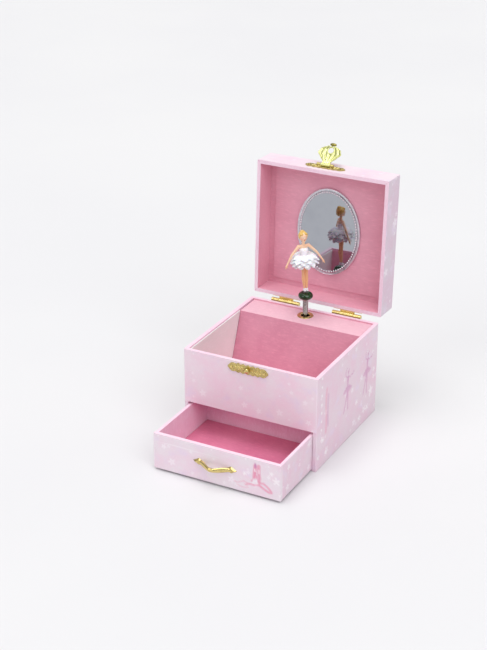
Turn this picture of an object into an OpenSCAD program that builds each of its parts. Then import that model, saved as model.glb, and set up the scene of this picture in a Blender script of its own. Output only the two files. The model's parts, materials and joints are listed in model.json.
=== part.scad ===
// Ballerina jewellery box: a paper-covered board case with a hinged lid,
// a drawer, a mirror, and a clockwork movement that turns a small dancer.
// Origin: centre of the underside. The front faces -Y, the right side +X.

/* [Case] */
// Outer width of the case and lid
box_w = 110; // [100:1:120]
// Outer depth of the case and lid
box_d = 109; // [104:1:116]
// Height of the case without its lid
base_h = 75.5; // [74:0.5:80]
// Thickness of the wrapped boards
board = 3; // [2.5:0.5:3.5]
// Radius of the wrapped outer corners
corner_r = 0.9; // [0.3:0.1:1.5]

/* [Lid] */
// Height of the lid over the case rim
lid_h = 22; // [20:1:26]
// Angle at which the lid rests open
lid_open = 92.5; // [88:0.5:96]

/* [Drawer] */
// Height of the drawer bay
bay_h = 32.2; // [30:0.2:34]
// Length of the drawer from front to back
drawer_len = 77.5; // [60:0.5:78]
// How far the drawer stands open
drawer_out = 51; // [0:1:60]

/* [Mirror] */
// Width of the oval mirror frame
mirror_w = 54; // [44:1:60]
// Length of the oval mirror frame
mirror_l = 71; // [60:1:74]

/* [Dancer] */
// Height of the figure from slippers to crown
figure_h = 49.5; // [44:0.5:52]
// Outer radius of the tutu
tutu_r = 12; // [10:0.5:15]
// Direction that the dancer faces, turned from the front towards the right
facing = 45; // [0:5:90]

/* [Hidden] */
$fn = 48;
half_w = box_w / 2;
half_d = box_d / 2;
in_w = half_w - board;
in_d = half_d - board;
gap = 0.2;

// heights inside the case
bottom_t = 1.5;
shelf_t = 2.5;
shelf_top = bay_h + shelf_t;
stage_top = base_h - 1.2;
card = 2;

// the folded card over the movement: a level stage and a slanted front
stage_y = 28;
slant_foot_y = 13;
cover_l = -in_w + 0.8;
cover_r = in_w - 1.1;
bay_back_y = 24;
liner = 0.8;

// lid hinge line
hinge_y = half_d + 3.5;
hinge_z = base_h - 0.5;
hinge_x = 26.5;
hinge_len = 24;
barrel_r = 1.8;
leaf_t = 0.7;
lid_z0 = base_h + gap;
lid_top = base_h + lid_h;
ceiling_z = lid_top - board;

// clasp on the lid and catch on the case
clasp_x = -1;
clasp_z = 83.5;
catch_z = clasp_z - 13;
plate_t = 0.8;
flap_y = -half_d - plate_t - 1.2;
flap_tilt = 42;

// drawer, drawn where it stands open
drawer_y = -half_d - drawer_out;
drawer_half = in_w - 0.3;
drawer_z0 = bottom_t + 0.2;
drawer_z1 = bay_h - 1.9;
drawer_wall = 2.5;
drawer_floor_z = 3.2;
pull_z = 16.6;
pull_x = -0.9;
pull_foot = 11.9;

// clockwork: the winding arbor lies along X, the melody cylinder stands
key_y = 38;
key_z = 38;
bed_x = -38;
bed_t = 2;
block_h = 18.5;
block_x0 = -36;
block_x1 = 10;
drum_x = -14.87;
drum_y = 38;
drum_r = 6;
drum_z0 = 49.8;
drum_z1 = 60.2;
crown_r = 9.9;
crown_teeth = 30;
pinion_teeth = 12;
crown_x = drum_x - 4;
barrel_x0 = -33.5;
barrel_x1 = crown_x - 0.75;
spring_case_r = 11;
wheel_z = 64.5;
wheel_t = 2;
wheel_module = 0.7;
bridge_z = 67.5;
gov_x = drum_x - 9.8;
worm_x = gov_x - 7.1;
worm_z = 62;

// dancer, on the axis of the drive spindle
spindle_x = -2;
spindle_y = 43;
mesh_angle = atan2(spindle_y - drum_y, spindle_x - drum_x);
spring_z0 = stage_top + 1.3;
spring_z1 = 87.5;
foot_z = 95.2;
lean = 4;

// ---------------------------------------------------------------- helpers

// A box from its lowest corner to its highest
module block(low, high) {
  translate(low) cube(high - low);
}

// Points of an arc about a centre, from angle a to angle b
function arc(centre, r, a, b) =
  [for (i = [0:4]) centre + r * [cos(a + (b - a) * i / 4), sin(a + (b - a) * i / 4)]];

// A board standing on the XY plane whose outline is a trapezium with both
// ends cut at 45 degrees. The outer face is at y = 0. Half of the rounded
// corner that it shares with its neighbour is on each end.
module mitred(length, thick, height) {
  c = length / 2 - corner_r;
  linear_extrude(height)
    polygon(concat(arc([-c, corner_r], corner_r, 225, 270), arc([c, corner_r], corner_r, 270, 315),
                   [[length / 2 - thick, thick], [-length / 2 + thick, thick]]));
}

// Rod along X, Y or Z that starts at p
module rod_x(p, r, len) { translate(p) rotate([0, 90, 0]) cylinder(r = r, h = len); }
module rod_y(p, r, len) { translate(p) rotate([-90, 0, 0]) cylinder(r = r, h = len); }
module rod_z(p, r, len) { translate(p) cylinder(r = r, h = len); }

// Rod from one point to another
module rod_between(a, b, r) {
  v = b - a;
  translate(a) rotate([0, acos(v.z / norm(v)), atan2(v.y, v.x)]) cylinder(r = r, h = norm(v));
}

// Small round-headed nail pointing along -Y, its head proud of the plane y = 0
module nail(head_r = 1.1, proud = 0.5, shank = 2.2) {
  rotate([90, 0, 0]) cylinder(r = head_r, h = proud);
  rotate([-90, 0, 0]) cylinder(r = 0.45, h = shank);
}

// Holes in a board for the two nails of a plate at height z
module plate_nail_holes(z) {
  for (s = [-1, 1]) rod_y([clasp_x + s * 13.5, -half_d - 1, z], 0.45, 2.4);
}

// Holes in a back board for the four nails of a row of hinge leaves
module hinge_nail_holes(side) {
  for (s = [-1, 1], i = [-1, 1])
    rod_y([s * hinge_x + i * 8, half_d - 1.5, hinge_z + side * 8], 0.45, 2.5);
}

// Straight-sided spur gear, tooth number 0 centred on +X before it is turned
module gear(teeth, mod, thick, bore, turn = 0) {
  pitch_r = teeth * mod / 2;
  tip = pitch_r + 0.85 * mod;
  root = pitch_r - 1.15 * mod;
  step = 360 / teeth;
  outline = [for (i = [0:teeth - 1], k = [[-0.24, root], [-0.1, tip], [0.1, tip], [0.24, root]])
    k[1] * [cos((i + k[0]) * step + turn), sin((i + k[0]) * step + turn)]];
  difference() {
    linear_extrude(thick) polygon(outline);
    translate([0, 0, -1]) cylinder(r = bore, h = thick + 2);
  }
}

// Points on an ellipse
function oval(rx, ry, n = 72) = [for (i = [0:n - 1]) [rx * cos(i * 360 / n), ry * sin(i * 360 / n)]];

// Everything on the lid is drawn closed and then swung open
module on_lid() {
  translate([0, hinge_y, hinge_z]) rotate([-lid_open, 0, 0])
    translate([0, -hinge_y, -hinge_z]) children();
}

// Everything on the dancer is drawn on its own axis, facing -Y
module on_dancer() {
  translate([spindle_x, spindle_y, foot_z]) rotate([0, -lean, 0]) rotate([0, 0, facing]) children();
}

// Oblong scalloped plate lying against the plane y = 0, facing -Y
module scalloped_plate(len, height) {
  rotate([90, 0, 0]) linear_extrude(plate_t) {
    square([len - height, height - 1.6], center = true);
    for (s = [-1, 1]) {
      translate([s * (len / 2 - height / 2 - 0.4), 0]) circle(r = height / 2 - 0.4);
      translate([s * (len / 2 - 1.5), 0]) circle(r = 1.5);
      for (i = [-2:2]) translate([i * 4, s * (height / 2 - 1.8)]) circle(r = 1.8);
    }
  }
}

// ---------------------------------------------------------------- case

module bottom_board() {
  color("#c9a9b8") block([-in_w, -half_d, 0], [in_w, in_d, bottom_t]);
}

// A side wall is mitred above the drawer bay at the front and all the way
// up at the back, and square beside the bay.
module side_wall() {
  front = [corner_r, -half_d + corner_r];
  rear = arc([corner_r, half_d - corner_r], corner_r, 135, 180);
  translate([-half_w, 0, 0]) {
    linear_extrude(bay_h)
      polygon(concat(rear, arc(front, corner_r, 180, 270), [[board, -half_d], [board, in_d]]));
    translate([0, 0, bay_h]) linear_extrude(base_h - bay_h)
      polygon(concat(rear, arc(front, corner_r, 180, 225), [[board, -in_d], [board, in_d]]));
  }
}

module left_wall() {
  color("#e3d0dd") difference() {
    side_wall();
    rod_x([-half_w - 1, key_y, key_z], 3, board + 2);
  }
}

module right_wall() {
  color("#e3d0dd") mirror([1, 0, 0]) side_wall();
}

module back_wall() {
  color("#e3d0dd") difference() {
    translate([0, half_d, 0]) rotate([0, 0, 180]) mitred(box_w, board, base_h);
    hinge_nail_holes(-1);
  }
}

module front_panel() {
  color("#e4ccd9") difference() {
    translate([0, -half_d, bay_h]) mitred(box_w, board, base_h - bay_h);
    plate_nail_holes(catch_z);
    rod_y([clasp_x, -half_d - 1, catch_z], 1.2, 3.4);
  }
}

module tray_shelf() {
  color("#d98aa0") block([-in_w, -in_d, bay_h], [in_w, bay_back_y + card, shelf_top]);
}

module bay_back_board() {
  color("#c77b93") block([-in_w, bay_back_y, bottom_t], [in_w, bay_back_y + card, bay_h]);
}

// One folded card: the stage is level and the front slants down to the shelf
module mechanism_cover() {
  run = stage_y - slant_foot_y;
  rise = stage_top - shelf_top;
  across = card * sqrt(run * run + rise * rise) / rise;
  color("#dd93a8") difference() {
    translate([cover_l, 0, 0]) rotate([90, 0, 90]) linear_extrude(cover_r - cover_l)
      polygon([[slant_foot_y, shelf_top], [stage_y, stage_top], [in_d, stage_top],
               [in_d, stage_top - card], [stage_y + across - 0.4 * card, stage_top - card],
               [slant_foot_y + across, shelf_top]]);
    rod_z([spindle_x, spindle_y, stage_top - card - 1], 4.6, card + 2);
  }
}

module tray_left_liner() {
  color("#e6dcdc") tray_side_liner();
}

module tray_right_liner() {
  color("#e6dcdc") mirror([1, 0, 0]) tray_side_liner();
}

// The side liner follows the slanted front of the mechanism cover
module tray_side_liner() {
  slope = (stage_y - slant_foot_y) / (stage_top - shelf_top);
  top = base_h - 1.2;
  translate([-in_w, 0, 0]) rotate([90, 0, 90]) linear_extrude(liner)
    polygon([[-in_d, shelf_top], [slant_foot_y - gap, shelf_top],
             [slant_foot_y - gap + slope * (top - shelf_top), top], [-in_d, top]]);
}

module tray_front_liner() {
  color("#e6dcdc")
    block([-in_w + liner, -in_d, shelf_top], [in_w - liner, -in_d + liner, base_h - 1.2]);
}

module tray_floor_liner() {
  color("#d9748f") block([-in_w + liner + 0.1, -in_d + liner + 0.1, shelf_top],
                         [in_w - 1.2, slant_foot_y - 0.3, shelf_top + 0.8]);
}

// Flanged eyelet that lines the hole for the spindle
module stage_grommet() {
  color("#c9a243") translate([spindle_x, spindle_y, 0]) rotate_extrude()
    polygon([[3.4, stage_top - card], [4.5, stage_top - card], [4.5, stage_top],
             [6.4, stage_top], [6.2, stage_top + 0.5], [5.2, stage_top + 0.9],
             [4.2, stage_top + 0.8], [3.4, stage_top + 0.2]]);
}

module keyhole_eyelet() {
  color("#c9a243") translate([-half_w, key_y, key_z]) rotate([0, -90, 0]) rotate_extrude()
    polygon([[2.1, -board], [2.9, -board], [2.9, 0], [5, 0], [4.6, 0.7], [2.1, 0.7]]);
}

module catch_plate() {
  color("#cbb45c") difference() {
    translate([clasp_x, -half_d, catch_z]) scalloped_plate(33, 7.6);
    for (s = [-1, 1])
      rod_y([clasp_x + s * 13.5, -half_d - 2, catch_z], 0.5, 3);
    rod_y([clasp_x, -half_d - 2, catch_z], 1.2, 3);
  }
}

// Domed stud that the eye of the clasp flap drops over
module catch_stud() {
  color("#d8c06a") translate([clasp_x, -half_d, catch_z]) rotate([90, 0, 0]) rotate_extrude()
    polygon([[0, -2.4], [1.2, -2.4], [1.2, plate_t], [2, plate_t], [2, 2.6],
             [1.7, 3.3], [1, 3.7], [0, 3.8]]);
}

module catch_nails() {
  color("#b99a45") for (s = [-1, 1])
    translate([clasp_x + s * 13.5, -half_d - plate_t, catch_z]) nail();
}

// ---------------------------------------------------------------- hinges

// One leaf with its knuckles. The leaf lies on the back face and an arm
// carries the knuckles out to the pin. spans lists the knuckles along X.
module hinge_leaf(side, spans, bore) {
  difference() {
    union() {
      block([-hinge_len / 2, half_d, side > 0 ? hinge_z + 1.5 : hinge_z - 13],
            [hinge_len / 2, half_d + leaf_t, side > 0 ? hinge_z + 13 : hinge_z - 0.2]);
      for (s = spans) {
        rod_x([s[0], hinge_y, hinge_z], barrel_r, s[1] - s[0]);
        block([s[0], half_d, side > 0 ? hinge_z + 0.8 : hinge_z - 1.6],
              [s[1], hinge_y, side > 0 ? hinge_z + 1.6 : hinge_z - 0.8]);
      }
    }
    rod_x([-hinge_len, hinge_y, hinge_z], bore, 2 * hinge_len);
    for (i = [-1, 1])
      rod_y([i * 8, half_d - 1, hinge_z + side * 8], 0.5, 3);
  }
}

module hinge_base_leaves() {
  color("#c39f45") for (s = [-1, 1]) translate([s * hinge_x, 0, 0])
    hinge_leaf(-1, [[-12, -6.1], [6.1, 12]], 0.71);
}

module hinge_lid_leaves() {
  color("#c39f45") on_lid() for (s = [-1, 1]) translate([s * hinge_x, 0, 0])
    hinge_leaf(1, [[-6, 6]], 0.75);
}

module hinge_pins() {
  color("#b8923c") for (s = [-1, 1])
    rod_x([s * hinge_x - hinge_len / 2, hinge_y, hinge_z], 0.7, hinge_len);
}

module hinge_nails_row(side) {
  for (s = [-1, 1], i = [-1, 1])
    translate([s * hinge_x + i * 8, half_d + leaf_t, hinge_z + side * 8])
      rotate([0, 0, 180]) nail();
}

module hinge_base_nails() { color("#b8923c") hinge_nails_row(-1); }
module hinge_lid_nails() { color("#b8923c") on_lid() hinge_nails_row(1); }

// ---------------------------------------------------------------- movement

module movement_block() {
  color("#c9a878") difference() {
    block([block_x0, key_y - 10, bottom_t], [block_x1, key_y + 12, bottom_t + block_h]);
    for (s = [-1, 1]) rod_x([block_x0 - 1, key_y + 1 + s * 7, 11], 1.2, 10);
  }
}

module bedplate() {
  color("#b9bcc2") difference() {
    translate([bed_x, 0, 0]) rotate([90, 0, 90]) linear_extrude(bed_t)
      polygon([[28, 3], [50, 3], [50, bridge_z], [30, bridge_z]]);
    rod_x([bed_x - 1, key_y, key_z], 1.65, bed_t + 2);
    for (s = [-1, 1]) rod_x([bed_x - 1, key_y + 1 + s * 7, 11], 1.2, bed_t + 2);
  }
}

module comb_stand() {
  color("#a9adb5") difference() {
    block([3.5, 38.5, bottom_t + block_h], [9.5, 42.5, 60]);
    for (z = [52.5, 57.5]) rod_y([6.5, 38, z], 0.8, 4.2);
  }
}

// Tuned steel comb: its teeth reach to the pins of the cylinder
module music_comb() {
  tip_x = drum_x + drum_r + 0.75;
  color("#8d9299") difference() {
    block([tip_x, 37.5, 50], [9.5, 38.5, 60]);
    for (i = [1:12]) block([tip_x - 1, 37, 50 + i * 10 / 13 - 0.12],
                           [1 + i * 0.15, 39, 50 + i * 10 / 13 + 0.12]);
    for (z = [52.5, 57.5]) rod_y([6.5, 37, z], 0.8, 2);
  }
}

// Cheese-headed screws: two hold the bedplate, two hold the comb
module movement_screws() {
  color("#9aa0a8") {
    for (s = [-1, 1]) {
      rod_x([bed_x - 1.4, key_y + 1 + s * 7, 11], 2.3, 1.4);
      rod_x([bed_x, key_y + 1 + s * 7, 11], 1.2, bed_t + 6);
    }
    for (z = [52.5, 57.5]) {
      rod_y([6.5, 36.4, z], 1.5, 1.1);
      rod_y([6.5, 37.5, z], 0.8, 4.4);
    }
  }
}

// Bent plate over the wheels: it carries the tops of the arbors and, on a
// turned-down arm, the foot of the dancer's spindle.
module drive_bridge() {
  color("#b9bcc2") difference() {
    union() {
      block([bed_x, 32, bridge_z], [7.5, 50, bridge_z + 1.5]);
      block([6.3, 40, 61], [7.5, 47, bridge_z]);
      block([-5, 40, 61], [6.3, 47, 62.2]);
    }
    rod_z([spindle_x, spindle_y, 60], 1.55, 12);
    rod_z([drum_x, drum_y, bridge_z - 1], 1.05, 4);
    rod_z([gov_x, drum_y, bridge_z - 1], 0.8, 4);
  }
}

// Stands on the block and carries the foot of the cylinder arbor
module arbor_bracket() {
  top = bottom_t + block_h;
  color("#b9bcc2") difference() {
    union() {
      block([drum_x - 2.4, 34, top], [drum_x - 1.2, 42, 45]);
      block([drum_x - 1.2, 34, top], [drum_x + 4, 42, top + 1.2]);
      block([drum_x - 1.2, 34, 43.8], [drum_x + 3, 42, 45]);
    }
    rod_z([drum_x, drum_y, 43], 1.05, 3);
  }
}

module governor_frame() {
  color("#b9bcc2") difference() {
    union() {
      block([bed_x + bed_t, 30, 56.5], [gov_x + 2.4, 43.2, 57.7]);
      for (y = [30, 42]) block([bed_x + bed_t, y, 57.7], [worm_x + 2.4, y + 1.2, 65]);
    }
    rod_z([gov_x, drum_y, 56], 0.8, 3);
    rod_y([worm_x, 29, worm_z], 0.65, 15);
  }
}

// Two-winged key with a threaded hub, screwed on the winding arbor
module winding_key() {
  color("#b08d3a") difference() {
    union() {
      rod_x([-70, key_y, key_z], 2.8, 13);
      intersection() {
        block([-87, key_y - 12, key_z - 0.8], [-68, key_y + 12, key_z + 0.8]);
        union() {
          for (s = [-1, 1])
            rod_z([-79, key_y + s * 5.2, key_z - 2], 6.6, 4);
          block([-74, key_y - 2.6, key_z - 2], [-68, key_y + 2.6, key_z + 2]);
        }
      }
    }
    rod_x([-66, key_y, key_z], 1.6, 10);
    for (s = [-1, 1]) rod_z([-79.5, key_y + s * 6, key_z - 2], 2.5, 4);
  }
}

module winding_arbor() {
  color("#9aa0a8") {
    rod_x([-66, key_y, key_z], 1.6, 66 + barrel_x1 - 1.6);
  }
}

// Drum that holds the mainspring, with face teeth on its rim
module spring_barrel() {
  tooth = 0.38 * 2 * PI * crown_r / crown_teeth;
  color("#c7a54a") {
    difference() {
      rod_x([barrel_x0, key_y, key_z], spring_case_r, barrel_x1 - barrel_x0);
      rod_x([barrel_x0 - 1, key_y, key_z], spring_case_r - 1, barrel_x1 - barrel_x0 - 0.2);
    }
    for (i = [0:crown_teeth - 1])
      translate([barrel_x1, key_y, key_z]) rotate([i * 360 / crown_teeth, 0, 0])
        translate([0, -tooth / 2, crown_r - 1]) cube([1.35, tooth, 2]);
  }
}

// Flat steel strip coiled between the arbor and the drum
module mainspring() {
  turns = 5;
  steps = 20 * turns;
  r0 = 3;
  r1 = 9.2;
  strip = 0.4;
  path = [for (i = [0:steps]) [r0 + (r1 - r0) * i / steps, i * 18]];
  edge_in = [for (p = path) p[0] * [cos(p[1]), sin(p[1])]];
  edge_out = [for (i = [steps:-1:0]) (path[i][0] + strip) * [cos(path[i][1]), sin(path[i][1])]];
  color("#70767e") translate([barrel_x0 + 1.5, key_y, key_z]) rotate([90, 0, 90])
    linear_extrude(9) polygon(concat(edge_in, edge_out));
}

// Pinned cylinder with its pinion below and its wheel above
module melody_cylinder() {
  pins_round = 9;
  rows = 13;
  color("#c7a54a") translate([drum_x, drum_y, 0]) {
    rod_z([0, 0, drum_z0], drum_r, drum_z1 - drum_z0);
    rod_z([0, 0, 43.9], 1, 25);
    translate([0, 0, key_z + crown_r - 1])
      gear(pinion_teeth, 8 / pinion_teeth, 2, 0.9, 180 + 180 / pinion_teeth);
    translate([0, 0, wheel_z]) gear(20, wheel_module, wheel_t, 0.9, mesh_angle);
    for (r = [0:rows - 1], k = [0:pins_round - 1])
      if ((r * 5 + k * 7) % 4 != 0)
        rotate([0, 0, k * 40 + r * 17 + 8]) translate([drum_r - 0.2, 0, 50.4 + r * 10 / 13])
          rotate([0, 90, 0]) cylinder(r = 0.22, h = 0.7, $fn = 8);
  }
}

module governor_wheel() {
  color("#c7a54a") translate([gov_x, drum_y, 0]) {
    rod_z([0, 0, 56.3], 0.75, 12.6);
    translate([0, 0, wheel_z])
      gear(8, wheel_module, wheel_t, 0.7, 180 / 8 - 2.5 * (mesh_angle - 18));
    translate([0, 0, worm_z - 0.8]) gear(20, 0.5, 1.6, 0.7, 9);
  }
}

// Worm and air brake: two vanes on a thin shaft along Y
module governor_fly() {
  color("#9aa0a8") {
    rod_y([worm_x, 29.5, worm_z], 0.6, 20.5);
    for (i = [0:6]) rod_y([worm_x, 34.9 + i * 0.9, worm_z], 1.6, 0.35);
    rod_y([worm_x, 34.5, worm_z], 1.1, 6.5);
    block([worm_x - 3.9, 44.5, worm_z - 0.2], [worm_x + 3.9, 49.5, worm_z + 0.2]);
  }
}

module drive_spindle() {
  color("#9aa0a8") translate([spindle_x, spindle_y, 0]) {
    rod_z([0, 0, 61], 1.5, spring_z0 + 1.6 - 61);
    translate([0, 0, wheel_z])
      gear(20, wheel_module, wheel_t, 1.4, 180 + mesh_angle + 9);
  }
}

// ---------------------------------------------------------------- dancer

// Close-wound spring that carries the dancer and lets her fold away
module dancer_spring() {
  coil = 0.55;
  coils = floor((spring_z1 - spring_z0) / coil);
  color("#a8abb0") translate([spindle_x, spindle_y, spring_z0]) rotate_extrude()
    polygon(concat([[1.58, 0]],
      [for (i = [0:coils - 1], k = [[1.95, 0.05], [2.15, 0.5]]) [k[0], (i + k[1]) * coil]],
      [[1.95, coils * coil], [1.58, coils * coil]]));
}

// Metal socket in the dancer's base that grips the top of the spring
module dancer_socket() {
  color("#a8abb0") translate([spindle_x, spindle_y, 0]) {
    rod_z([0, 0, spring_z1 + 0.1], 2.4, 0.9);
    rod_z([0, 0, spring_z1 + 0.1], 1.45, 5);
  }
}

module dancer_base() {
  mid = spring_z1 + 4.4;
  color("#1f4a24") translate([spindle_x, spindle_y, 0]) difference() {
    translate([0, 0, mid]) rotate_extrude()
      polygon(concat([[0, -3.3], [4, -3.3]],
        [for (a = [-55:10:55]) [3.6 + 2.4 * cos(a), 3.3 * sin(a) / sin(55)]],
        [[4, 3.3], [0, 3.3]]));
    rod_z([0, 0, spring_z1], 1.5, 5.2);
  }
}

// Figure facing -Y with its feet together, its arms held out and down
module dancer_figure() {
  k = figure_h / 49.5;
  color("#e8b48a") on_dancer() scale(k) {
    for (s = [-1, 1]) translate([s * 1.25, 0, 0]) {
      translate([0, -0.5, 0]) cylinder(r1 = 1.1, r2 = 1.3, h = 4);
      translate([0, 0, 3]) cylinder(r1 = 1.1, r2 = 1.6, h = 13);
      translate([0, 0, 15]) cylinder(r1 = 1.6, r2 = 2, h = 9);
    }
    translate([0, 0, 23]) cylinder(r1 = 3.6, r2 = 2.5, h = 5);
    translate([0, 0, 28]) cylinder(r1 = 2.5, r2 = 3.6, h = 7);
    translate([0, 0, 35]) cylinder(r1 = 3.6, r2 = 1.4, h = 3.5);
    translate([0, 0, 38]) cylinder(r = 1.3, h = 3.5);
    translate([0, 0, 44.6]) sphere(r = 3.9);
    translate([0, 0.6, 47.6]) sphere(r = 1.9);
    for (s = [-1, 1]) {
      translate([s * 3.2, 0, 36.6]) rotate([0, s * 141, 0]) cylinder(r1 = 1.3, r2 = 1, h = 10);
      translate([s * 9.3, 0, 29]) rotate([0, s * 143, 0]) cylinder(r1 = 1.1, r2 = 0.8, h = 8.5);
      translate([s * 9.4, 0, 28.9]) sphere(r = 1.1);
      translate([s * 14.6, 0, 21.8]) sphere(r = 1.2);
    }
  }
}

// Gauze skirt: a shallow flared ring round the hips
module dancer_tutu() {
  k = figure_h / 49.5;
  color("white") on_dancer() scale(k) difference() {
    rotate_extrude() polygon([[3.75, 29], [4.6, 30.8], [8.5, 30], [tutu_r - 1, 27],
      [tutu_r, 24.6], [tutu_r - 1.2, 21.8], [8.6, 20.4], [5, 22.2], [3.75, 23.8]]);
    for (s = [-1, 1]) {
      translate([s * 9.3, 0, 29]) rotate([0, s * 143, 0]) cylinder(r = 1.9, h = 12);
      translate([s * 3.2, 0, 36.6]) rotate([0, s * 141, 0]) cylinder(r = 1.9, h = 10.5);
    }
  }
}

// ---------------------------------------------------------------- lid

module lid_top_board() {
  color("#dccdd8") on_lid() translate([0, 0, ceiling_z]) linear_extrude(lid_top - ceiling_z)
    offset(r = corner_r) square([box_w - 2 * corner_r, box_d - 2 * corner_r], center = true);
}

module lid_side(turn, length, reach) {
  rotate([0, 0, turn]) translate([0, -reach, lid_z0])
    mitred(length, board, ceiling_z - lid_z0);
}

module lid_front_wall() {
  color("#e6d5e1") on_lid() difference() {
    lid_side(0, box_w, half_d);
    plate_nail_holes(clasp_z);
  }
}

module lid_back_wall() {
  color("#e6d5e1") on_lid() difference() {
    lid_side(180, box_w, half_d);
    hinge_nail_holes(1);
  }
}

module lid_left_wall() { color("#dccdd8") on_lid() lid_side(-90, box_d, half_w); }
module lid_right_wall() { color("#dccdd8") on_lid() lid_side(90, box_d, half_w); }

module lid_lining() {
  margin = 4.5;
  color("#d0809a") on_lid()
    block([-in_w + margin, -in_d + margin, ceiling_z - liner],
          [in_w - margin, in_d - margin, ceiling_z]);
}

// Oval frame with a rebate behind it that holds the glass
module mirror_frame() {
  band = 4.4;
  color("#c9ccd2") on_lid() translate([0, 0, ceiling_z - liner - 3]) difference() {
    linear_extrude(3) polygon(oval(mirror_w / 2, mirror_l / 2));
    translate([0, 0, 1.4]) linear_extrude(2) polygon(oval(mirror_w / 2 - 2, mirror_l / 2 - 2));
    translate([0, 0, -1]) linear_extrude(5)
      polygon(oval(mirror_w / 2 - band, mirror_l / 2 - band));
  }
}

module mirror_glass() {
  color("#a9b1bb") on_lid() translate([0, 0, ceiling_z - liner - 1.6]) linear_extrude(1.4)
    polygon(oval(mirror_w / 2 - 2.2, mirror_l / 2 - 2.2));
}

module clasp_plate() {
  color("#cbb45c") on_lid() difference() {
    union() {
      translate([clasp_x, -half_d, clasp_z]) scalloped_plate(33, 7.6);
      for (s = [-1, 1]) translate([clasp_x + s * 5.5, 0, 0]) {
        rod_x([-1.5, flap_y, clasp_z], 1.2, 3);
        block([-1.5, flap_y, clasp_z - 0.6], [1.5, -half_d, clasp_z + 0.6]);
      }
    }
    rod_x([clasp_x - 10, flap_y, clasp_z], 0.51, 20);
    for (s = [-1, 1]) rod_y([clasp_x + s * 13.5, -half_d - 2, clasp_z], 0.5, 3);
  }
}

module clasp_nails() {
  color("#b99a45") on_lid() for (s = [-1, 1])
    translate([clasp_x + s * 13.5, -half_d - plate_t, clasp_z]) nail();
}

module clasp_pin() {
  color("#b99a45") on_lid() rod_x([clasp_x - 7, flap_y, clasp_z], 0.5, 14);
}

// Fan-shaped flap, drawn hanging over the catch stud and then swung up
module clasp_flap() {
  eye = clasp_z - catch_z;
  color("#dccb6a") on_lid() translate([clasp_x, flap_y, clasp_z]) rotate([-90 - flap_tilt, 0, 0])
    difference() {
      union() {
        rod_x([-3.9, 0, 0], 1.2, 7.8);
        rotate([90, 0, 0]) translate([0, 0, -0.4]) linear_extrude(0.8) {
          polygon([[-3.6, 0], [3.6, 0], [3.4, -3.5], [7.4, -8.5], [7.4, -12],
                   [-7.4, -12], [-7.4, -8.5], [-3.4, -3.5]]);
          for (a = [-80:40:80]) translate([6.6 * sin(a), -11 - 4.6 * cos(a)]) circle(r = 3);
          translate([0, -12]) circle(r = 5.4);
        }
        translate([0, -1.2, -eye - 5]) sphere(r = 1.6);
      }
      rod_x([-10, 0, 0], 0.55, 20);
      rod_y([0, -2, -eye], 2.9, 4);
    }
}

// ---------------------------------------------------------------- drawer

module drawer_front() {
  color("#ead9e4") difference() {
    block([-drawer_half, drawer_y, drawer_z0], [drawer_half, drawer_y + board, drawer_z1]);
    for (s = [-1, 1]) rod_y([pull_x + s * pull_foot, drawer_y - 1, pull_z], 0.45, 3.6);
  }
}

// Left, right and back boards of the drawer box
module drawer_sides() {
  top = drawer_z1 - 0.3;
  y0 = drawer_y + board;
  y1 = drawer_y + drawer_len;
  color("#d9a5bd") {
    for (s = [-1, 1])
      block([s > 0 ? drawer_half - drawer_wall : -drawer_half, y0, drawer_z0],
            [s > 0 ? drawer_half : -drawer_half + drawer_wall, y1, top]);
    block([-drawer_half + drawer_wall, y1 - drawer_wall, drawer_z0],
          [drawer_half - drawer_wall, y1, top]);
  }
}

module drawer_bottom() {
  color("#b56a84") block([-drawer_half + drawer_wall, drawer_y + board, drawer_floor_z],
    [drawer_half - drawer_wall, drawer_y + drawer_len - drawer_wall, drawer_floor_z + 2]);
}

module drawer_liner() {
  color("#b9547a")
    block([-drawer_half + drawer_wall + 0.2, drawer_y + board + 0.2, drawer_floor_z + 2],
          [drawer_half - drawer_wall - 0.2, drawer_y + drawer_len - drawer_wall - 0.2,
           drawer_floor_z + 2.8]);
}

// Cast bow pull: arrow-shaped feet, two slanting legs and a round grip,
// with the fixing pins that stand in the drawer front
module drawer_pull() {
  out = 6.3;
  drop = 0.3;
  bend = 1.8;
  color("#d3ad4c") translate([pull_x, drawer_y, pull_z]) {
    rod_x([-bend, -out, -drop], 1.4, 2 * bend);
    for (s = [-1, 1]) {
      translate([s * bend, -out, -drop]) sphere(r = 1.4);
      rod_between([s * bend, -out, -drop], [s * pull_foot, -0.9, 0], 1.3);
      rotate([90, 0, 0]) linear_extrude(1.2)
        polygon([[s * (pull_foot - 3.5), 0], [s * pull_foot, 2.6], [s * (pull_foot + 6), 0],
                 [s * pull_foot, -2.6]]);
      rod_y([s * pull_foot, -0.5, 0], 0.45, 3);
    }
  }
}

// ---------------------------------------------------------------- drawing

bottom_board();
left_wall();
right_wall();
back_wall();
front_panel();
tray_shelf();
bay_back_board();
mechanism_cover();
tray_left_liner();
tray_right_liner();
tray_front_liner();
tray_floor_liner();
stage_grommet();
keyhole_eyelet();
catch_plate();
catch_stud();
catch_nails();
hinge_base_leaves();
hinge_pins();
hinge_base_nails();
movement_block();
bedplate();
comb_stand();
music_comb();
movement_screws();
drive_bridge();
arbor_bracket();
governor_frame();
winding_key();
winding_arbor();
spring_barrel();
mainspring();
melody_cylinder();
governor_wheel();
governor_fly();
drive_spindle();
dancer_spring();
dancer_socket();
dancer_base();
dancer_figure();
dancer_tutu();
lid_top_board();
lid_left_wall();
lid_right_wall();
lid_front_wall();
lid_back_wall();
lid_lining();
mirror_frame();
mirror_glass();
clasp_plate();
clasp_nails();
clasp_pin();
hinge_lid_leaves();
hinge_lid_nails();
clasp_flap();
drawer_front();
drawer_sides();
drawer_bottom();
drawer_liner();
drawer_pull();
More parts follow.
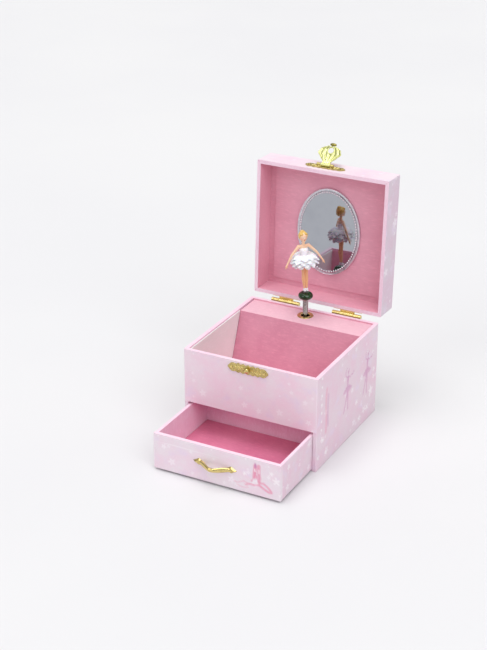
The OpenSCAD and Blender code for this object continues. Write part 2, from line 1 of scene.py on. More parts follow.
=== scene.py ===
# %% [markdown]
# # A dancer's jewellery box
# The box is a real kind of object: boards wrapped in printed paper, a lid on
# two small hinges, a drawer, a mirror, and a clockwork that turns a dancer.
# The boards, hinges and wheels already exist as an exact model, which is
# loaded first as a fixed frame. This lesson dresses that frame: it softens
# the boards, makes the brass, the doll and her skirt, and lights the set.

# %% Load the frame
import json
import math
import random

import bpy
from mathutils import Matrix, Vector


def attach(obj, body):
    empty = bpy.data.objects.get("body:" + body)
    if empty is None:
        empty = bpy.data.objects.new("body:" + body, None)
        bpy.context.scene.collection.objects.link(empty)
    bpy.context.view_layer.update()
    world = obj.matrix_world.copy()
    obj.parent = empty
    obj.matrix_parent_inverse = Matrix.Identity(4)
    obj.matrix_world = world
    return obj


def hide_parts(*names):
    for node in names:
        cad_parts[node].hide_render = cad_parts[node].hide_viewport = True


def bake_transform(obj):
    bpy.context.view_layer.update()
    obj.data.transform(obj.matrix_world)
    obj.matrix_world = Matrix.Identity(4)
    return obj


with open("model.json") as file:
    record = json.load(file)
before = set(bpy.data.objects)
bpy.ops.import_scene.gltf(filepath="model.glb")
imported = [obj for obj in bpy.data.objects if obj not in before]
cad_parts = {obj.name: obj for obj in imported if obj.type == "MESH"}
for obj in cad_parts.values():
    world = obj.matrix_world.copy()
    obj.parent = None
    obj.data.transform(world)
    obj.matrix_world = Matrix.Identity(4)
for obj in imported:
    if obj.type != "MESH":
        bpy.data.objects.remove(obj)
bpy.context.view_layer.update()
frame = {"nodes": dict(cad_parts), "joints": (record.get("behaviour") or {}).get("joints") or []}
MM = 0.001

# %% [markdown]
# Every step below selects something, changes it by an operator and goes on.
# The same few moves come back for each piece, so they are written once:
# choosing one object, adding a primitive, selecting parts of a mesh by their
# place, applying a modifier, melting parts into one skin, and closing a piece
# off with clean normals.

# %% Workshop helpers
def only(piece):
    bpy.ops.object.select_all(action="DESELECT")
    piece.select_set(True)
    bpy.context.view_layer.objects.active = piece
    return piece


def fresh():
    return bpy.context.view_layer.objects.active


def edit(piece, mode="VERT"):
    only(piece)
    bpy.ops.object.mode_set(mode="EDIT")
    bpy.ops.mesh.select_mode(type=mode)
    bpy.ops.mesh.select_all(action="SELECT")


def leave():
    bpy.ops.object.mode_set(mode="OBJECT")


def choose_faces(piece, test):
    """Leaves edit mode with only the faces selected that pass the test."""
    edit(piece, "FACE")
    bpy.ops.mesh.select_all(action="DESELECT")
    leave()
    for face in piece.data.polygons:
        face.select = bool(test(face))
    bpy.ops.object.mode_set(mode="EDIT")


def modify(piece, kind, **settings):
    only(piece)
    step = piece.modifiers.new(kind.title(), kind)
    for key, value in settings.items():
        setattr(step, key, value)
    bpy.ops.object.modifier_apply(modifier=step.name)
    return piece


def join(pieces):
    bpy.ops.object.select_all(action="DESELECT")
    for piece in pieces:
        piece.select_set(True)
    bpy.context.view_layer.objects.active = pieces[0]
    bpy.ops.object.join()
    return pieces[0]


def place_now(piece):
    only(piece)
    bpy.ops.object.transform_apply(location=True, rotation=True, scale=True)
    return piece


def twin(piece, matrix=None):
    """A copy with its own mesh, moved by a matrix."""
    copy = bpy.data.objects.new(piece.name, piece.data.copy())
    bpy.context.scene.collection.objects.link(copy)
    if matrix is not None:
        copy.data.transform(matrix)
        if matrix.determinant() < 0:
            copy.data.flip_normals()
    return copy


def polish(piece, smooth=40):
    """Smooth shading up to an angle, with the large faces kept flat."""
    only(piece)
    bpy.ops.object.shade_smooth_by_angle(angle=math.radians(smooth))
    return modify(piece, "WEIGHTED_NORMAL", keep_sharp=True)


def seal(piece, name, smooth=40, merge=0.004):
    """Applies the place, merges doubles and turns every face outwards."""
    place_now(piece)
    edit(piece)
    bpy.ops.mesh.remove_doubles(threshold=merge * MM)
    bpy.ops.mesh.normals_make_consistent(inside=False)
    leave()
    piece.name = name
    piece.data.name = name
    return polish(piece, smooth)


def finish_piece(piece, body, slot, material, *replaced):
    if material is not None:
        piece.data.materials.clear()
        piece.data.materials.append(material)
    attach(piece, body)
    if replaced:
        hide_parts(*replaced)
    print(f"{piece.name}: {len(piece.data.polygons)} faces on {body}")
    return piece


def one_skin(parts, voxel, factor, times):
    """Overlapping parts joined, remeshed into a single skin and smoothed."""
    skin = join(parts)
    modify(skin, "REMESH", mode="VOXEL", voxel_size=voxel * MM)
    return modify(skin, "SMOOTH", factor=factor, iterations=times)


def ball(at, radius, stretch=(1, 1, 1), rings=16):
    bpy.ops.mesh.primitive_uv_sphere_add(segments=rings * 2, ring_count=rings,
                                         radius=radius * MM, location=Vector(at) * MM)
    piece = fresh()
    piece.scale = stretch
    return place_now(piece)


def rod(a, b, r1, r2=None, sides=24):
    """A tapered rod from point a to point b, in millimetres."""
    a, b = Vector(a), Vector(b)
    along = b - a
    bpy.ops.mesh.primitive_cone_add(vertices=sides, radius1=r1 * MM,
                                    radius2=(r1 if r2 is None else r2) * MM,
                                    depth=along.length * MM, location=(a + b) / 2 * MM)
    piece = fresh()
    piece.rotation_mode = "QUATERNION"
    piece.rotation_quaternion = along.to_track_quat("Z", "Y")
    return place_now(piece)


print("helpers ready")

# %% [markdown]
# The record gives the two things that everything on the lid shares: where the
# hinge line is and how far the lid stands open. Lid pieces are made with the
# lid closed, where front is front and up is up, and then swung open.

# %% The lid's swing
hinge = next(j for j in frame["joints"] if j["name"] == "lid_hinge")
hinge_at = Vector(hinge["pos_m"])
lid_angle = math.radians(hinge["range_deg"][1])
SWING = (Matrix.Translation(hinge_at) @ Matrix.Rotation(-lid_angle, 4, "X")
         @ Matrix.Translation(-hinge_at))
CLOSED = SWING.inverted()
print("lid stands open by", round(math.degrees(lid_angle), 1), "degrees")

# %% [markdown]
# ## Light, floor and camera
# The box stands on a pale table under three very wide suns: one overhead, and
# one from each side of the front. A lamp near the box would brighten one edge
# of the table, and a sun does not. A pale sky fills the shadows. It is darker
# towards the horizon and towards the front, so that polished brass has
# something dark to mirror.

# %% Stage and camera
CAMERA_AT = (0.452683, -0.918517, 0.562269)
LOOKS_DOWN, LOOKS_LEFT, LENS = math.radians(25.03), math.radians(27.90), 83.16
bpy.ops.object.camera_add(location=CAMERA_AT,
                          rotation=(math.radians(90) - LOOKS_DOWN, 0, LOOKS_LEFT))
camera = fresh()
camera.data.lens = LENS
camera.data.sensor_width = 36
camera.data.clip_start = 0.01
bpy.context.scene.camera = camera


def broad_sun(name, heading, strength, spread_deg, tint):
    """A very wide sun: soft shadows, and the same light all over the table."""
    bpy.ops.object.light_add(type="SUN")
    lamp = fresh()
    lamp.name = name
    lamp.data.energy = strength
    lamp.data.angle = math.radians(spread_deg)
    lamp.data.color = tint
    lamp.rotation_euler = Vector(heading).to_track_quat("-Z", "Y").to_euler()
    return lamp


broad_sun("overhead", (0.12, 0.06, -1), 1.25, 36, (1, 0.99, 0.985))
broad_sun("front_left", (0.45, 1, -0.7), 0.55, 40, (1, 0.99, 0.98))
broad_sun("front_right", (-0.8, 0.6, -0.95), 1.1, 45, (0.985, 0.99, 1))

scene = bpy.context.scene
scene.view_settings.view_transform = "Standard"
scene.world = bpy.data.worlds.new("studio")
scene.world.use_nodes = True
sky = scene.world.node_tree
backdrop = sky.nodes["Background"]
direction = sky.nodes.new("ShaderNodeTexCoord")
split = sky.nodes.new("ShaderNodeSeparateXYZ")
height_ramp = sky.nodes.new("ShaderNodeValToRGB")
depth_ramp = sky.nodes.new("ShaderNodeValToRGB")
both = sky.nodes.new("ShaderNodeMix")
both.data_type, both.blend_type = "RGBA", "MULTIPLY"
both.inputs["Factor"].default_value = 1.0
half = sky.nodes.new("ShaderNodeMath")
half.operation = "MULTIPLY_ADD"
half.inputs[1].default_value = half.inputs[2].default_value = 0.5
sky.links.new(direction.outputs["Generated"], split.inputs[0])
sky.links.new(split.outputs["Z"], height_ramp.inputs[0])
sky.links.new(split.outputs["Y"], half.inputs[0])
sky.links.new(half.outputs[0], depth_ramp.inputs[0])
sky.links.new(height_ramp.outputs[0], both.inputs[6])
sky.links.new(depth_ramp.outputs[0], both.inputs[7])
sky.links.new(both.outputs[2], backdrop.inputs["Color"])
for ramp, near, far, last in ((height_ramp, (0.42, 0.43, 0.45, 1), (1, 1, 1, 1), 0.5),
                              (depth_ramp, (0.42, 0.42, 0.44, 1), (1, 1, 1, 1), 0.55)):
    stops = ramp.color_ramp.elements
    stops[0].position, stops[0].color = 0.05, near
    stops[1].position, stops[1].color = last, far
backdrop.inputs["Strength"].default_value = 0.64

# %% [markdown]
# ## Finishes
# Each finish is a small chain of nodes. Noise at two scales gives paper its
# fibres and its cloudy print, and the same noise drives the bump, so colour
# and relief belong together. Values that are the same all over are set on the
# shader itself.

# %% Finish helpers
def linear(red, green, blue):
    """A display colour, given as 0 to 255, made linear."""
    def one(c):
        c /= 255
        return c / 12.92 if c <= 0.04045 else ((c + 0.055) / 1.055) ** 2.4
    return (one(red), one(green), one(blue), 1)


def node(tree, kind, inputs=(), **settings):
    made = tree.nodes.new("ShaderNode" + kind)
    for key, value in settings.items():
        setattr(made, key, value)
    for name, value in dict(inputs).items():
        if isinstance(value, bpy.types.NodeSocket):
            tree.links.new(value, made.inputs[name])
        else:
            made.inputs[name].default_value = value
    return made


def finish_start(name, roughness=0.5, metallic=0.0, **more):
    material = bpy.data.materials.new(name)
    material.use_nodes = True
    tree = material.node_tree
    shader = tree.nodes["Principled BSDF"]
    shader.inputs["Roughness"].default_value = roughness
    shader.inputs["Metallic"].default_value = metallic
    for key, value in more.items():
        shader.inputs[key.replace("_", " ")].default_value = value
    return material, tree, shader


def here(tree):
    return node(tree, "TexCoord").outputs["Object"]


def maths(tree, operation, a, b=0.0):
    return node(tree, "Math", {0: a, 1: b}, operation=operation).outputs[0]


def spread(tree, value, low, high, to_low=0.0, to_high=1.0, smooth=True):
    return node(tree, "MapRange", {"Value": value, "From Min": low, "From Max": high,
                                   "To Min": to_low, "To Max": to_high},
                interpolation_type="SMOOTHSTEP" if smooth else "LINEAR").outputs["Result"]


def blend_colour(tree, share, a, b, way="MIX"):
    mixed = node(tree, "Mix", data_type="RGBA", blend_type=way)
    for slot_at, value in ((0, share), (6, a), (7, b)):
        if isinstance(value, bpy.types.NodeSocket):
            tree.links.new(value, mixed.inputs[slot_at])
        else:
            mixed.inputs[slot_at].default_value = value
    return mixed.outputs[2]


def noise(tree, coords, scale, detail=3.0, rough=0.55, stretch=None):
    if stretch is not None:
        coords = node(tree, "Mapping", {"Vector": coords, "Scale": stretch}).outputs[0]
    return node(tree, "TexNoise", {"Vector": coords, "Scale": scale, "Detail": detail,
                                   "Roughness": rough}).outputs["Fac"]


def bump(tree, shader, height, depth_mm, strength=1.0):
    made = node(tree, "Bump", {"Height": height, "Distance": depth_mm * MM,
                               "Strength": strength})
    tree.links.new(made.outputs[0], shader.inputs["Normal"])


def plane(tree, coords, axes):
    """Two of the object's own directions, as a flat pattern space."""
    parts = node(tree, "SeparateXYZ", {0: coords})
    return node(tree, "CombineXYZ", {"X": parts.outputs[axes[0]],
                                     "Y": parts.outputs[axes[1]]}).outputs[0]


print("finish helpers ready")

# %% [markdown]
# The wrap is a satin paper in pale lilac pink. Its print is faint: clouds of
# warmer and cooler pink, and scattered white five-petalled blossoms of two
# sizes. A Voronoi pattern gives each blossom a centre; the angle and distance
# from that centre draw the petals. The paper lies flat on each board, so each
# facing of the box gets the print in its own two directions.

# %% Printed paper
RANDOM_TURN = 6.3  # radians, about a full turn


def blossoms(tree, flat, spacing, size, share):
    cell = node(tree, "TexVoronoi", {"Vector": flat, "Scale": 1 / (spacing * MM),
                                     "Randomness": 0.85}, voronoi_dimensions="2D")
    away = node(tree, "VectorMath", {0: flat, 1: cell.outputs["Position"]},
                operation="SUBTRACT").outputs[0]
    parts = node(tree, "SeparateXYZ", {0: away})
    tint = node(tree, "SeparateColor", {0: cell.outputs["Color"]})
    angle = maths(tree, "ARCTAN2", parts.outputs[1], parts.outputs[0])
    angle = maths(tree, "ADD", angle, maths(tree, "MULTIPLY", tint.outputs[2],
                                                 RANDOM_TURN))
    petal = maths(tree, "ABSOLUTE", maths(tree, "COSINE", maths(tree, "MULTIPLY", angle, 2.5)))
    waved = maths(tree, "ADD", maths(tree, "MULTIPLY", petal, 0.62), 0.38)
    sized = maths(tree, "MULTIPLY", maths(tree, "ADD", tint.outputs[1], 0.55), size * MM)
    reach = maths(tree, "MULTIPLY", waved, sized)
    far = maths(tree, "DIVIDE",
                node(tree, "VectorMath", {0: away}, operation="LENGTH").outputs["Value"], reach)
    shape = spread(tree, far, 1.05, 0.4)
    heart = spread(tree, far, 0.12, 0.3, 0.45, 1.0)
    shown = maths(tree, "GREATER_THAN", tint.outputs[0], 1 - share)
    return maths(tree, "MULTIPLY", maths(tree, "MULTIPLY", shape, heart), shown)


def wrap_paper(name, axes, base=(240, 224, 233), inked=False):
    material, tree, shader = finish_start(name, 0.42, Specular_IOR_Level=0.45)
    coords = here(tree)
    flat = plane(tree, coords, axes)
    cloud = noise(tree, flat, 46, 4, 0.6)
    colour = blend_colour(tree, spread(tree, cloud, 0.35, 0.68),
                          linear(*base), linear(base[0] + 2, base[1] - 11, base[2] - 5))
    cool = noise(tree, flat, 85, 2, 0.5)
    colour = blend_colour(tree, spread(tree, cool, 0.52, 0.75, 0, 0.55),
                          colour, linear(232, 214, 236))
    large = blossoms(tree, flat, 17, 3.4, 0.5)
    small = blossoms(tree, flat, 9, 1.7, 0.32)
    dots = node(tree, "TexVoronoi", {"Vector": flat, "Scale": 1 / (4.2 * MM)},
                voronoi_dimensions="2D")
    speck = spread(tree, dots.outputs["Distance"], 0.10, 0.04, 0, 0.35)
    white = maths(tree, "MAXIMUM", maths(tree, "MULTIPLY", large, 0.75),
                  maths(tree, "MAXIMUM", maths(tree, "MULTIPLY", small, 0.6), speck))
    colour = blend_colour(tree, maths(tree, "MULTIPLY", white, 0.8), colour,
                          linear(252, 244, 250))
    if inked:
        inks = node(tree, "SeparateColor",
                    {0: node(tree, "Attribute", attribute_name="ink").outputs["Color"]})
        grain = noise(tree, flat, 900, 3, 0.6)
        soft = spread(tree, grain, 0.25, 0.6, 0.75, 1.0)
        for channel, ink, depth in ((0, (232, 118, 160), 0.85), (1, (205, 132, 182), 0.82),
                                    (2, (255, 250, 253), 0.85)):
            share = maths(tree, "MULTIPLY", maths(tree, "MULTIPLY", inks.outputs[channel], soft),
                          depth)
            colour = blend_colour(tree, share, colour, linear(*ink))
    fibre = noise(tree, coords, 2600, 3, 0.7)
    colour = blend_colour(tree, spread(tree, fibre, 0.3, 0.75, 0, 0.10), colour,
                          linear(255, 246, 252))
    tree.links.new(colour, shader.inputs["Base Color"])
    tree.links.new(spread(tree, fibre, 0.3, 0.7, 0.38, 0.50), shader.inputs["Roughness"])
    bump(tree, shader, fibre, 0.02, 0.35)
    return material


paper_front = wrap_paper("wrap_paper_front", (0, 2))
# The side faces, the printed right side included, take a darker copy of the same wrap: painted
# shade.
side_paper_shaded = wrap_paper("wrap_paper_side_shaded", (1, 2), (232, 211, 222))
paper_top = wrap_paper("wrap_paper_top", (0, 1))
inked_side_paper_shaded = wrap_paper("wrap_paper_with_dancers_shaded", (1, 2), (232, 211, 222), True)
paper_inked_front = wrap_paper("wrap_paper_with_slippers", (0, 2), (237, 224, 232), inked=True)
# The lid's sides take a darker copy still: painted shade.
lid_side_paper_shaded = wrap_paper("wrap_paper_lid_side_shaded", (1, 2), (218, 202, 214))
print("printed papers made")

# %% [markdown]
# The linings are plain uncoated papers. Under a close look they show long
# fibres that mostly run one way, a little fluff that catches the light, and
# slightly uneven dye. The rims are the folded edge of the wrap, in a plain
# paler pink without the print.

# %% Plain papers
def lining_paper(name, base, deep, fibre_way=(1, 1, 1), rough=0.62):
    material, tree, shader = finish_start(name, rough, Specular_IOR_Level=0.4)
    shader.inputs["Sheen Weight"].default_value = 0.12
    shader.inputs["Sheen Roughness"].default_value = 0.6
    coords = here(tree)
    cloud = noise(tree, coords, 38, 4, 0.6)
    fibre = noise(tree, coords, 700, 5, 0.72, fibre_way)
    speck = noise(tree, coords, 3200, 2, 0.6)
    colour = blend_colour(tree, spread(tree, cloud, 0.3, 0.72), linear(*base), linear(*deep))
    pale = tuple(min(255, c + 22) for c in base)
    colour = blend_colour(tree, spread(tree, fibre, 0.45, 0.75, 0, 0.5), colour, linear(*pale))
    colour = blend_colour(tree, spread(tree, speck, 0.55, 0.8, 0, 0.35), colour, linear(*pale))
    tree.links.new(colour, shader.inputs["Base Color"])
    tree.links.new(spread(tree, fibre, 0.3, 0.7, rough - 0.06, rough + 0.08),
                   shader.inputs["Roughness"])
    bump(tree, shader, fibre, 0.03, 0.5)
    return material


rose_paper = lining_paper("rose_lining", (233, 170, 188), (226, 159, 179), (0.25, 1, 1))
# The stage top is a lighter copy of the rose lining and the slope a darker one: painted light and
# painted shade.
rose_cover_lit = lining_paper("rose_stage_paper_lit", (233, 188, 201), (228, 178, 194), (0.25, 1, 1))
rose_slope_shaded = lining_paper("rose_slope_paper_shaded", (216, 148, 169), (207, 135, 158), (0.3, 1, 1))
deep_rose = lining_paper("deep_rose_floor", (220, 126, 158), (210, 110, 146), (0.3, 1, 1))
shell_paper = lining_paper("shell_pink_board", (244, 208, 226), (238, 194, 216), (1, 1, 0.3))
white_paper = lining_paper("off_white_liner", (244, 252, 247), (238, 245, 240), (1, 0.3, 1))
rim_paper = lining_paper("folded_rim", (246, 216, 230), (241, 205, 223), (1, 1, 1), 0.5)
# Darker rose for the folds where lining meets rim and for the liner's edges: painted shade.
fold_shade_paper = lining_paper("painted_fold_shade", (190, 92, 128), (176, 78, 116), (1, 1, 1), 0.7)
under_paper = lining_paper("underside_paper", (214, 190, 204), (206, 180, 196))
print("lining papers made")

# %% [markdown]
# The fittings are lacquered brass: pressed hinges, plates and nails. Brass is
# almost all reflection, so its life comes from uneven roughness, fine rubbing
# marks and a browner tone that stays where a cloth does not reach. The clasp
# flap is plated paler and greener, and the clockwork is nickel and raw brass.

# %% Metals
def metal(name, base, dull, rough, streak=(1, 1, 1), scale=900, pits=0.01, tint=0.6):
    material, tree, shader = finish_start(name, rough, 1.0)
    coords = here(tree)
    rub = noise(tree, coords, scale, 4, 0.65, streak)
    tarnish = noise(tree, coords, 210, 4, 0.6)
    colour = blend_colour(tree, spread(tree, tarnish, 0.42, 0.75, 0, tint), base, dull)
    tree.links.new(colour, shader.inputs["Base Color"])
    tree.links.new(spread(tree, rub, 0.3, 0.7, rough * 0.65, rough * 1.5),
                   shader.inputs["Roughness"])
    bump(tree, shader, rub, pits, 0.5)
    return material


brass = metal("lacquered_brass", (0.72, 0.57, 0.23, 1), (0.40, 0.29, 0.09, 1), 0.17)
stamped_brass = metal("stamped_brass", (0.78, 0.66, 0.28, 1), (0.52, 0.40, 0.12, 1), 0.24)
recess_brass = metal("brass_in_the_recess", (0.58, 0.48, 0.19, 1), (0.36, 0.28, 0.09, 1), 0.34)
pale_brass = metal("pale_plated_brass", (0.76, 0.78, 0.36, 1), (0.58, 0.58, 0.22, 1), 0.34)
tip_brass = metal("shadowed_brass", (0.30, 0.26, 0.07, 1), (0.16, 0.13, 0.04, 1), 0.35)
wheel_brass = metal("turned_brass", (0.74, 0.56, 0.24, 1), (0.55, 0.38, 0.13, 1), 0.28)
nickel = metal("nickel_plate", (0.66, 0.65, 0.62, 1), (0.50, 0.48, 0.45, 1), 0.26,
               (1, 1, 6), 600)
spring_wire = metal("spring_wire", (0.52, 0.51, 0.50, 1), (0.36, 0.35, 0.34, 1), 0.24,
                    (1, 1, 8), 700)
silver_trim = metal("silvered_moulding", (0.84, 0.85, 0.88, 1), (0.62, 0.62, 0.68, 1), 0.10)
silver_rim = metal("silvered_rim", (0.62, 0.61, 0.66, 1), (0.46, 0.45, 0.50, 1), 0.30)
# Near black for the band behind the beads: painted shade between them.
bead_channel_shade = metal("bead_channel_painted_shade", (0.07, 0.07, 0.08, 1), (0.04, 0.04, 0.05, 1), 0.5)
print("metals made")

# %% [markdown]
# Three more finishes: the silvered mirror, kept greyer than a bathroom mirror;
# a glossy moulded plastic, used for the dancer's base and again for her hair
# and bodice; and the softwood of the block inside. The doll's skin is made
# later, with the doll.

# %% Mirror, plastic and wood
def mirror_finish():
    material, tree, shader = finish_start("silvered_glass", 0.03, 1.0)
    coords = here(tree)
    smear = noise(tree, coords, 60, 4, 0.6)
    tree.links.new(blend_colour(tree, spread(tree, smear, 0.35, 0.7),
                                (0.39, 0.405, 0.44, 1), (0.365, 0.38, 0.415, 1)),
                   shader.inputs["Base Color"])
    tree.links.new(spread(tree, smear, 0.4, 0.75, 0.015, 0.06), shader.inputs["Roughness"])
    return material


def plastic(name, base, shade, rough, scale=240, coat=0.0):
    material, tree, shader = finish_start(name, rough)
    shader.inputs["Coat Weight"].default_value = coat
    shader.inputs["Coat Roughness"].default_value = 0.08
    coords = here(tree)
    flow = noise(tree, coords, scale, 3, 0.5)
    skin = noise(tree, coords, 2400, 2, 0.5)
    tree.links.new(blend_colour(tree, spread(tree, flow, 0.35, 0.7), base, shade),
                   shader.inputs["Base Color"])
    tree.links.new(spread(tree, skin, 0.3, 0.7, rough * 0.8, rough * 1.3),
                   shader.inputs["Roughness"])
    bump(tree, shader, skin, 0.006, 0.4)
    return material


def softwood():
    material, tree, shader = finish_start("planed_softwood", 0.6)
    coords = here(tree)
    ring = node(tree, "TexWave", {"Vector": node(tree, "Mapping", {
        "Vector": coords, "Scale": (0.4, 3, 3)}).outputs[0], "Scale": 160, "Distortion": 5,
        "Detail": 3, "Detail Scale": 1.2}, wave_type="RINGS").outputs["Fac"]
    tree.links.new(blend_colour(tree, ring, linear(214, 182, 136), linear(186, 146, 98)),
                   shader.inputs["Base Color"])
    pores = noise(tree, coords, 900, 4, 0.7, (0.15, 1, 1))
    tree.links.new(spread(tree, pores, 0.3, 0.7, 0.5, 0.72), shader.inputs["Roughness"])
    bump(tree, shader, pores, 0.05, 0.5)
    return material


mirror_glass = mirror_finish()
bottle_green = plastic("bottle_green_plastic", linear(18, 66, 12), linear(9, 42, 7), 0.14,
                       180, 0.25)
wood = softwood()
print("mirror, plastic and wood made")

# %% [markdown]
# ## The clockwork
# The movement hides behind the slanted cover and is seen only from below or
# through the hole, so its exact parts stay as they are. Each gets its metal.

# %% Clockwork finishes
CLOCKWORK = {
    "movement_block": wood, "bedplate": nickel, "comb_stand": nickel,
    "music_comb": spring_wire, "movement_screws": nickel, "drive_bridge": nickel,
    "arbor_bracket": nickel, "governor_frame": nickel, "spring_barrel": wheel_brass,
    "mainspring": spring_wire, "melody_cylinder": wheel_brass, "governor_wheel": wheel_brass,
    "governor_fly": nickel, "drive_spindle": nickel, "dancer_socket": nickel,
}
for name, material in CLOCKWORK.items():
    kept = frame["nodes"][name]
    kept.data.materials.clear()
    kept.data.materials.append(material)
print(len(CLOCKWORK), "clockwork parts finished")

# %% [markdown]
# ## The wrapped boards
# A board wrapped in paper has no sharp edge: the paper turns over it in a
# small radius. Each board starts as a copy of its exact shape. Its loose
# triangles are merged, the flat ones are joined into whole faces, and a bevel
# rounds what is left. The faces are then papered by the way they look: out,
# in, or along the rim. The rounded fold where lining meets rim is painted a
# darker rose: painted shade.

# %% Softened copies
def gridded(piece, axis, low, high, step):
    """Cuts the whole piece by planes across one axis, all in millimetres."""
    edit(piece)
    count = int(round((high - low) / step))
    for number in range(count + 1):
        cut = Vector((0, 0, 0))
        cut[axis] = (low + number * (high - low) / count) * MM
        across = Vector((0, 0, 0))
        across[axis] = 1
        bpy.ops.mesh.select_all(action="SELECT")
        bpy.ops.mesh.bisect(plane_co=cut, plane_no=across)
    leave()


def softened(node_name, name, edge, segments=3, smooth=38, limit=25, grid=()):
    copy = bpy.data.objects.new(name, frame["nodes"][node_name].data.copy())
    bpy.context.scene.collection.objects.link(copy)
    edit(copy)
    bpy.ops.mesh.remove_doubles(threshold=0.002 * MM)
    bpy.ops.mesh.dissolve_limited(angle_limit=math.radians(1.5))
    leave()
    if edge:
        modify(copy, "BEVEL", width=edge * MM, segments=segments, limit_method="ANGLE",
               angle_limit=math.radians(limit), use_clamp_overlap=True)
    for cuts in grid:
        gridded(copy, *cuts)
    return seal(copy, name, smooth, 0.002)


def papered(piece, papers):
    """papers is a list of (material, test); the last test that passes wins."""
    piece.data.materials.clear()
    for material, _ in papers:
        piece.data.materials.append(material)
    for face in piece.data.polygons:
        for number, (_, test) in enumerate(papers):
            if test is None or test(face.normal, face.center):
                face.material_index = number


def facing(axis, least=0.8):
    return lambda normal, centre: normal.dot(Vector(axis)) > least


shut = CLOSED.to_3x3()


def facing_shut(axis, least=0.8):
    """The same test for a lid board, judged as if the lid were closed."""
    return lambda normal, centre: (shut @ normal).dot(Vector(axis)) > least


def fold(rim, inner):
    """The narrow rounded edge between a rim and the lining inside it."""
    return lambda normal, centre: (normal.dot(Vector(rim)) > 0.12
                                   and normal.dot(Vector(inner)) > 0.30)


def fold_shut(inner):
    return lambda normal, centre: ((shut @ normal).z < -0.12
                                   and (shut @ normal).dot(Vector(inner)) > 0.30)


def outside(normal, centre):
    """The outer faces of the drawer's two sides."""
    return abs(normal.x) > 0.8 and abs(centre.x) > 0.0505


UP, DOWN, FRONT, BACK = (0, 0, 1), (0, 0, -1), (0, -1, 0), (0, 1, 0)
LEFT, RIGHT = (-1, 0, 0), (1, 0, 0)
BOARDS = [
    ("bottom_board", "case", "bottom_paper", 0.25, [(under_paper, None)]),
    ("left_wall", "case", "printed_paper", 0.35,
     [(side_paper_shaded, None), (shell_paper, facing(RIGHT)), (rim_paper, facing(UP)),
      (fold_shade_paper, fold(UP, RIGHT))]),
    ("right_wall", "case", "printed_paper", 0.35,
     [(inked_side_paper_shaded, None), (rose_paper, facing(LEFT)), (rim_paper, facing(UP)),
      (fold_shade_paper, fold(UP, LEFT))]),
    ("back_wall", "case", "printed_paper", 0.35,
     [(paper_front, None), (rose_paper, facing(FRONT)), (rim_paper, facing(UP))]),
    ("front_panel", "case", "printed_paper", 0.35,
     [(paper_front, None), (rose_paper, facing(BACK)), (rim_paper, facing(UP)),
      (rim_paper, facing(DOWN)), (fold_shade_paper, fold(UP, BACK))]),
    ("tray_shelf", "case", "grey_board", 0.2, [(rose_paper, None)]),
    ("bay_back_board", "case", "grey_board", 0.2, [(shell_paper, None)]),
    # Lighter rose on the cover's top and darker on its slant: painted light and painted shade.
    ("mechanism_cover", "case", "lining_paper", 0.45,
     [(rose_cover_lit, None), (rose_slope_shaded, facing((0, -0.93, 0.36), 0.85))]),
    ("tray_left_liner", "case", "white_liner", 0.12, [(white_paper, None)]),
    ("tray_right_liner", "case", "white_liner", 0.12, [(rose_paper, None)]),
    ("tray_front_liner", "case", "white_liner", 0.12, [(rose_paper, None)]),
    ("tray_floor_liner", "case", "lining_paper", 0.12, [(deep_rose, None)]),
    ("lid_top_board", "lid", "printed_paper", 0.5,
     [(paper_front, None), (lid_side_paper_shaded, facing(RIGHT, 0.6)),
      (lid_side_paper_shaded, facing(LEFT, 0.6)), (paper_top, facing(UP, 0.6)),
      (rose_paper, facing_shut(DOWN))]),
    ("lid_front_wall", "lid", "printed_paper", 0.35,
     [(paper_top, None), (rose_paper, facing_shut(BACK)), (rim_paper, facing_shut(DOWN)),
      (fold_shade_paper, fold_shut(BACK))]),
    ("lid_back_wall", "lid", "printed_paper", 0.35,
     [(paper_top, None), (rose_paper, facing_shut(FRONT)), (rim_paper, facing_shut(DOWN)),
      (fold_shade_paper, fold_shut(FRONT))]),
    ("lid_left_wall", "lid", "printed_paper", 0.35,
     [(lid_side_paper_shaded, None), (rose_paper, facing_shut(RIGHT)),
      (rim_paper, facing_shut(DOWN)), (fold_shade_paper, fold_shut(RIGHT))]),
    ("lid_right_wall", "lid", "printed_paper", 0.35,
     [(lid_side_paper_shaded, None), (rose_paper, facing_shut(LEFT)),
      (rim_paper, facing_shut(DOWN)), (fold_shade_paper, fold_shut(LEFT))]),
    ("lid_lining", "lid", "lining_paper", 0.25, [(rose_paper, None)]),
    ("drawer_front", "drawer", "printed_paper", 0.4,
     [(paper_inked_front, None), (shell_paper, facing(BACK)), (rim_paper, facing(UP))]),
    ("drawer_sides", "drawer", "drawer_paper", 0.3,
     [(shell_paper, None), (rim_paper, facing(UP)), (side_paper_shaded, outside)]),
    ("drawer_bottom", "drawer", "drawer_paper", 0.2, [(under_paper, None)]),
    ("drawer_liner", "drawer", "lining_paper", 0.2,
     [(fold_shade_paper, None), (deep_rose, facing(UP))]),
]
GRIDS = {"right_wall": ((1, -52, 50, 1.0), (2, 4, 75, 1.1)),
         "drawer_front": ((0, 10, 54, 0.85), (2, 3, 30, 0.85))}
boards = {}
for node_name, body, slot, edge, papers in BOARDS:
    board = softened(node_name, "wrapped_" + node_name, edge, grid=GRIDS.get(node_name, ()))
    papered(board, papers)
    boards[node_name] = finish_piece(board, body, slot, None, node_name)

# %% [markdown]
# ## The printed pictures
# Two boards carry more than the scattered blossoms. The right side has two
# faint dancers, a ribbon and a dotted border, and the drawer front has a pair
# of ballet slippers with trailing ribbons. The pictures are painted as a
# colour on the mesh: these two boards were cut into a fine grid above, and
# every point of the grid is inked by how near it lies to a few strokes.

# %% Painting strokes
def stroke(points, width, channel, ink=1.0, soft=0.55):
    return ([Vector(p) for p in points], width, channel, ink, soft)


def near_stroke(at, points):
    best = 1e9
    for a, b in zip(points, points[1:]):
        along = b - a
        share = max(0.0, min(1.0, (at - a).dot(along) / max(along.length_squared, 1e-9)))
        best = min(best, (at - a - along * share).length)
    return best


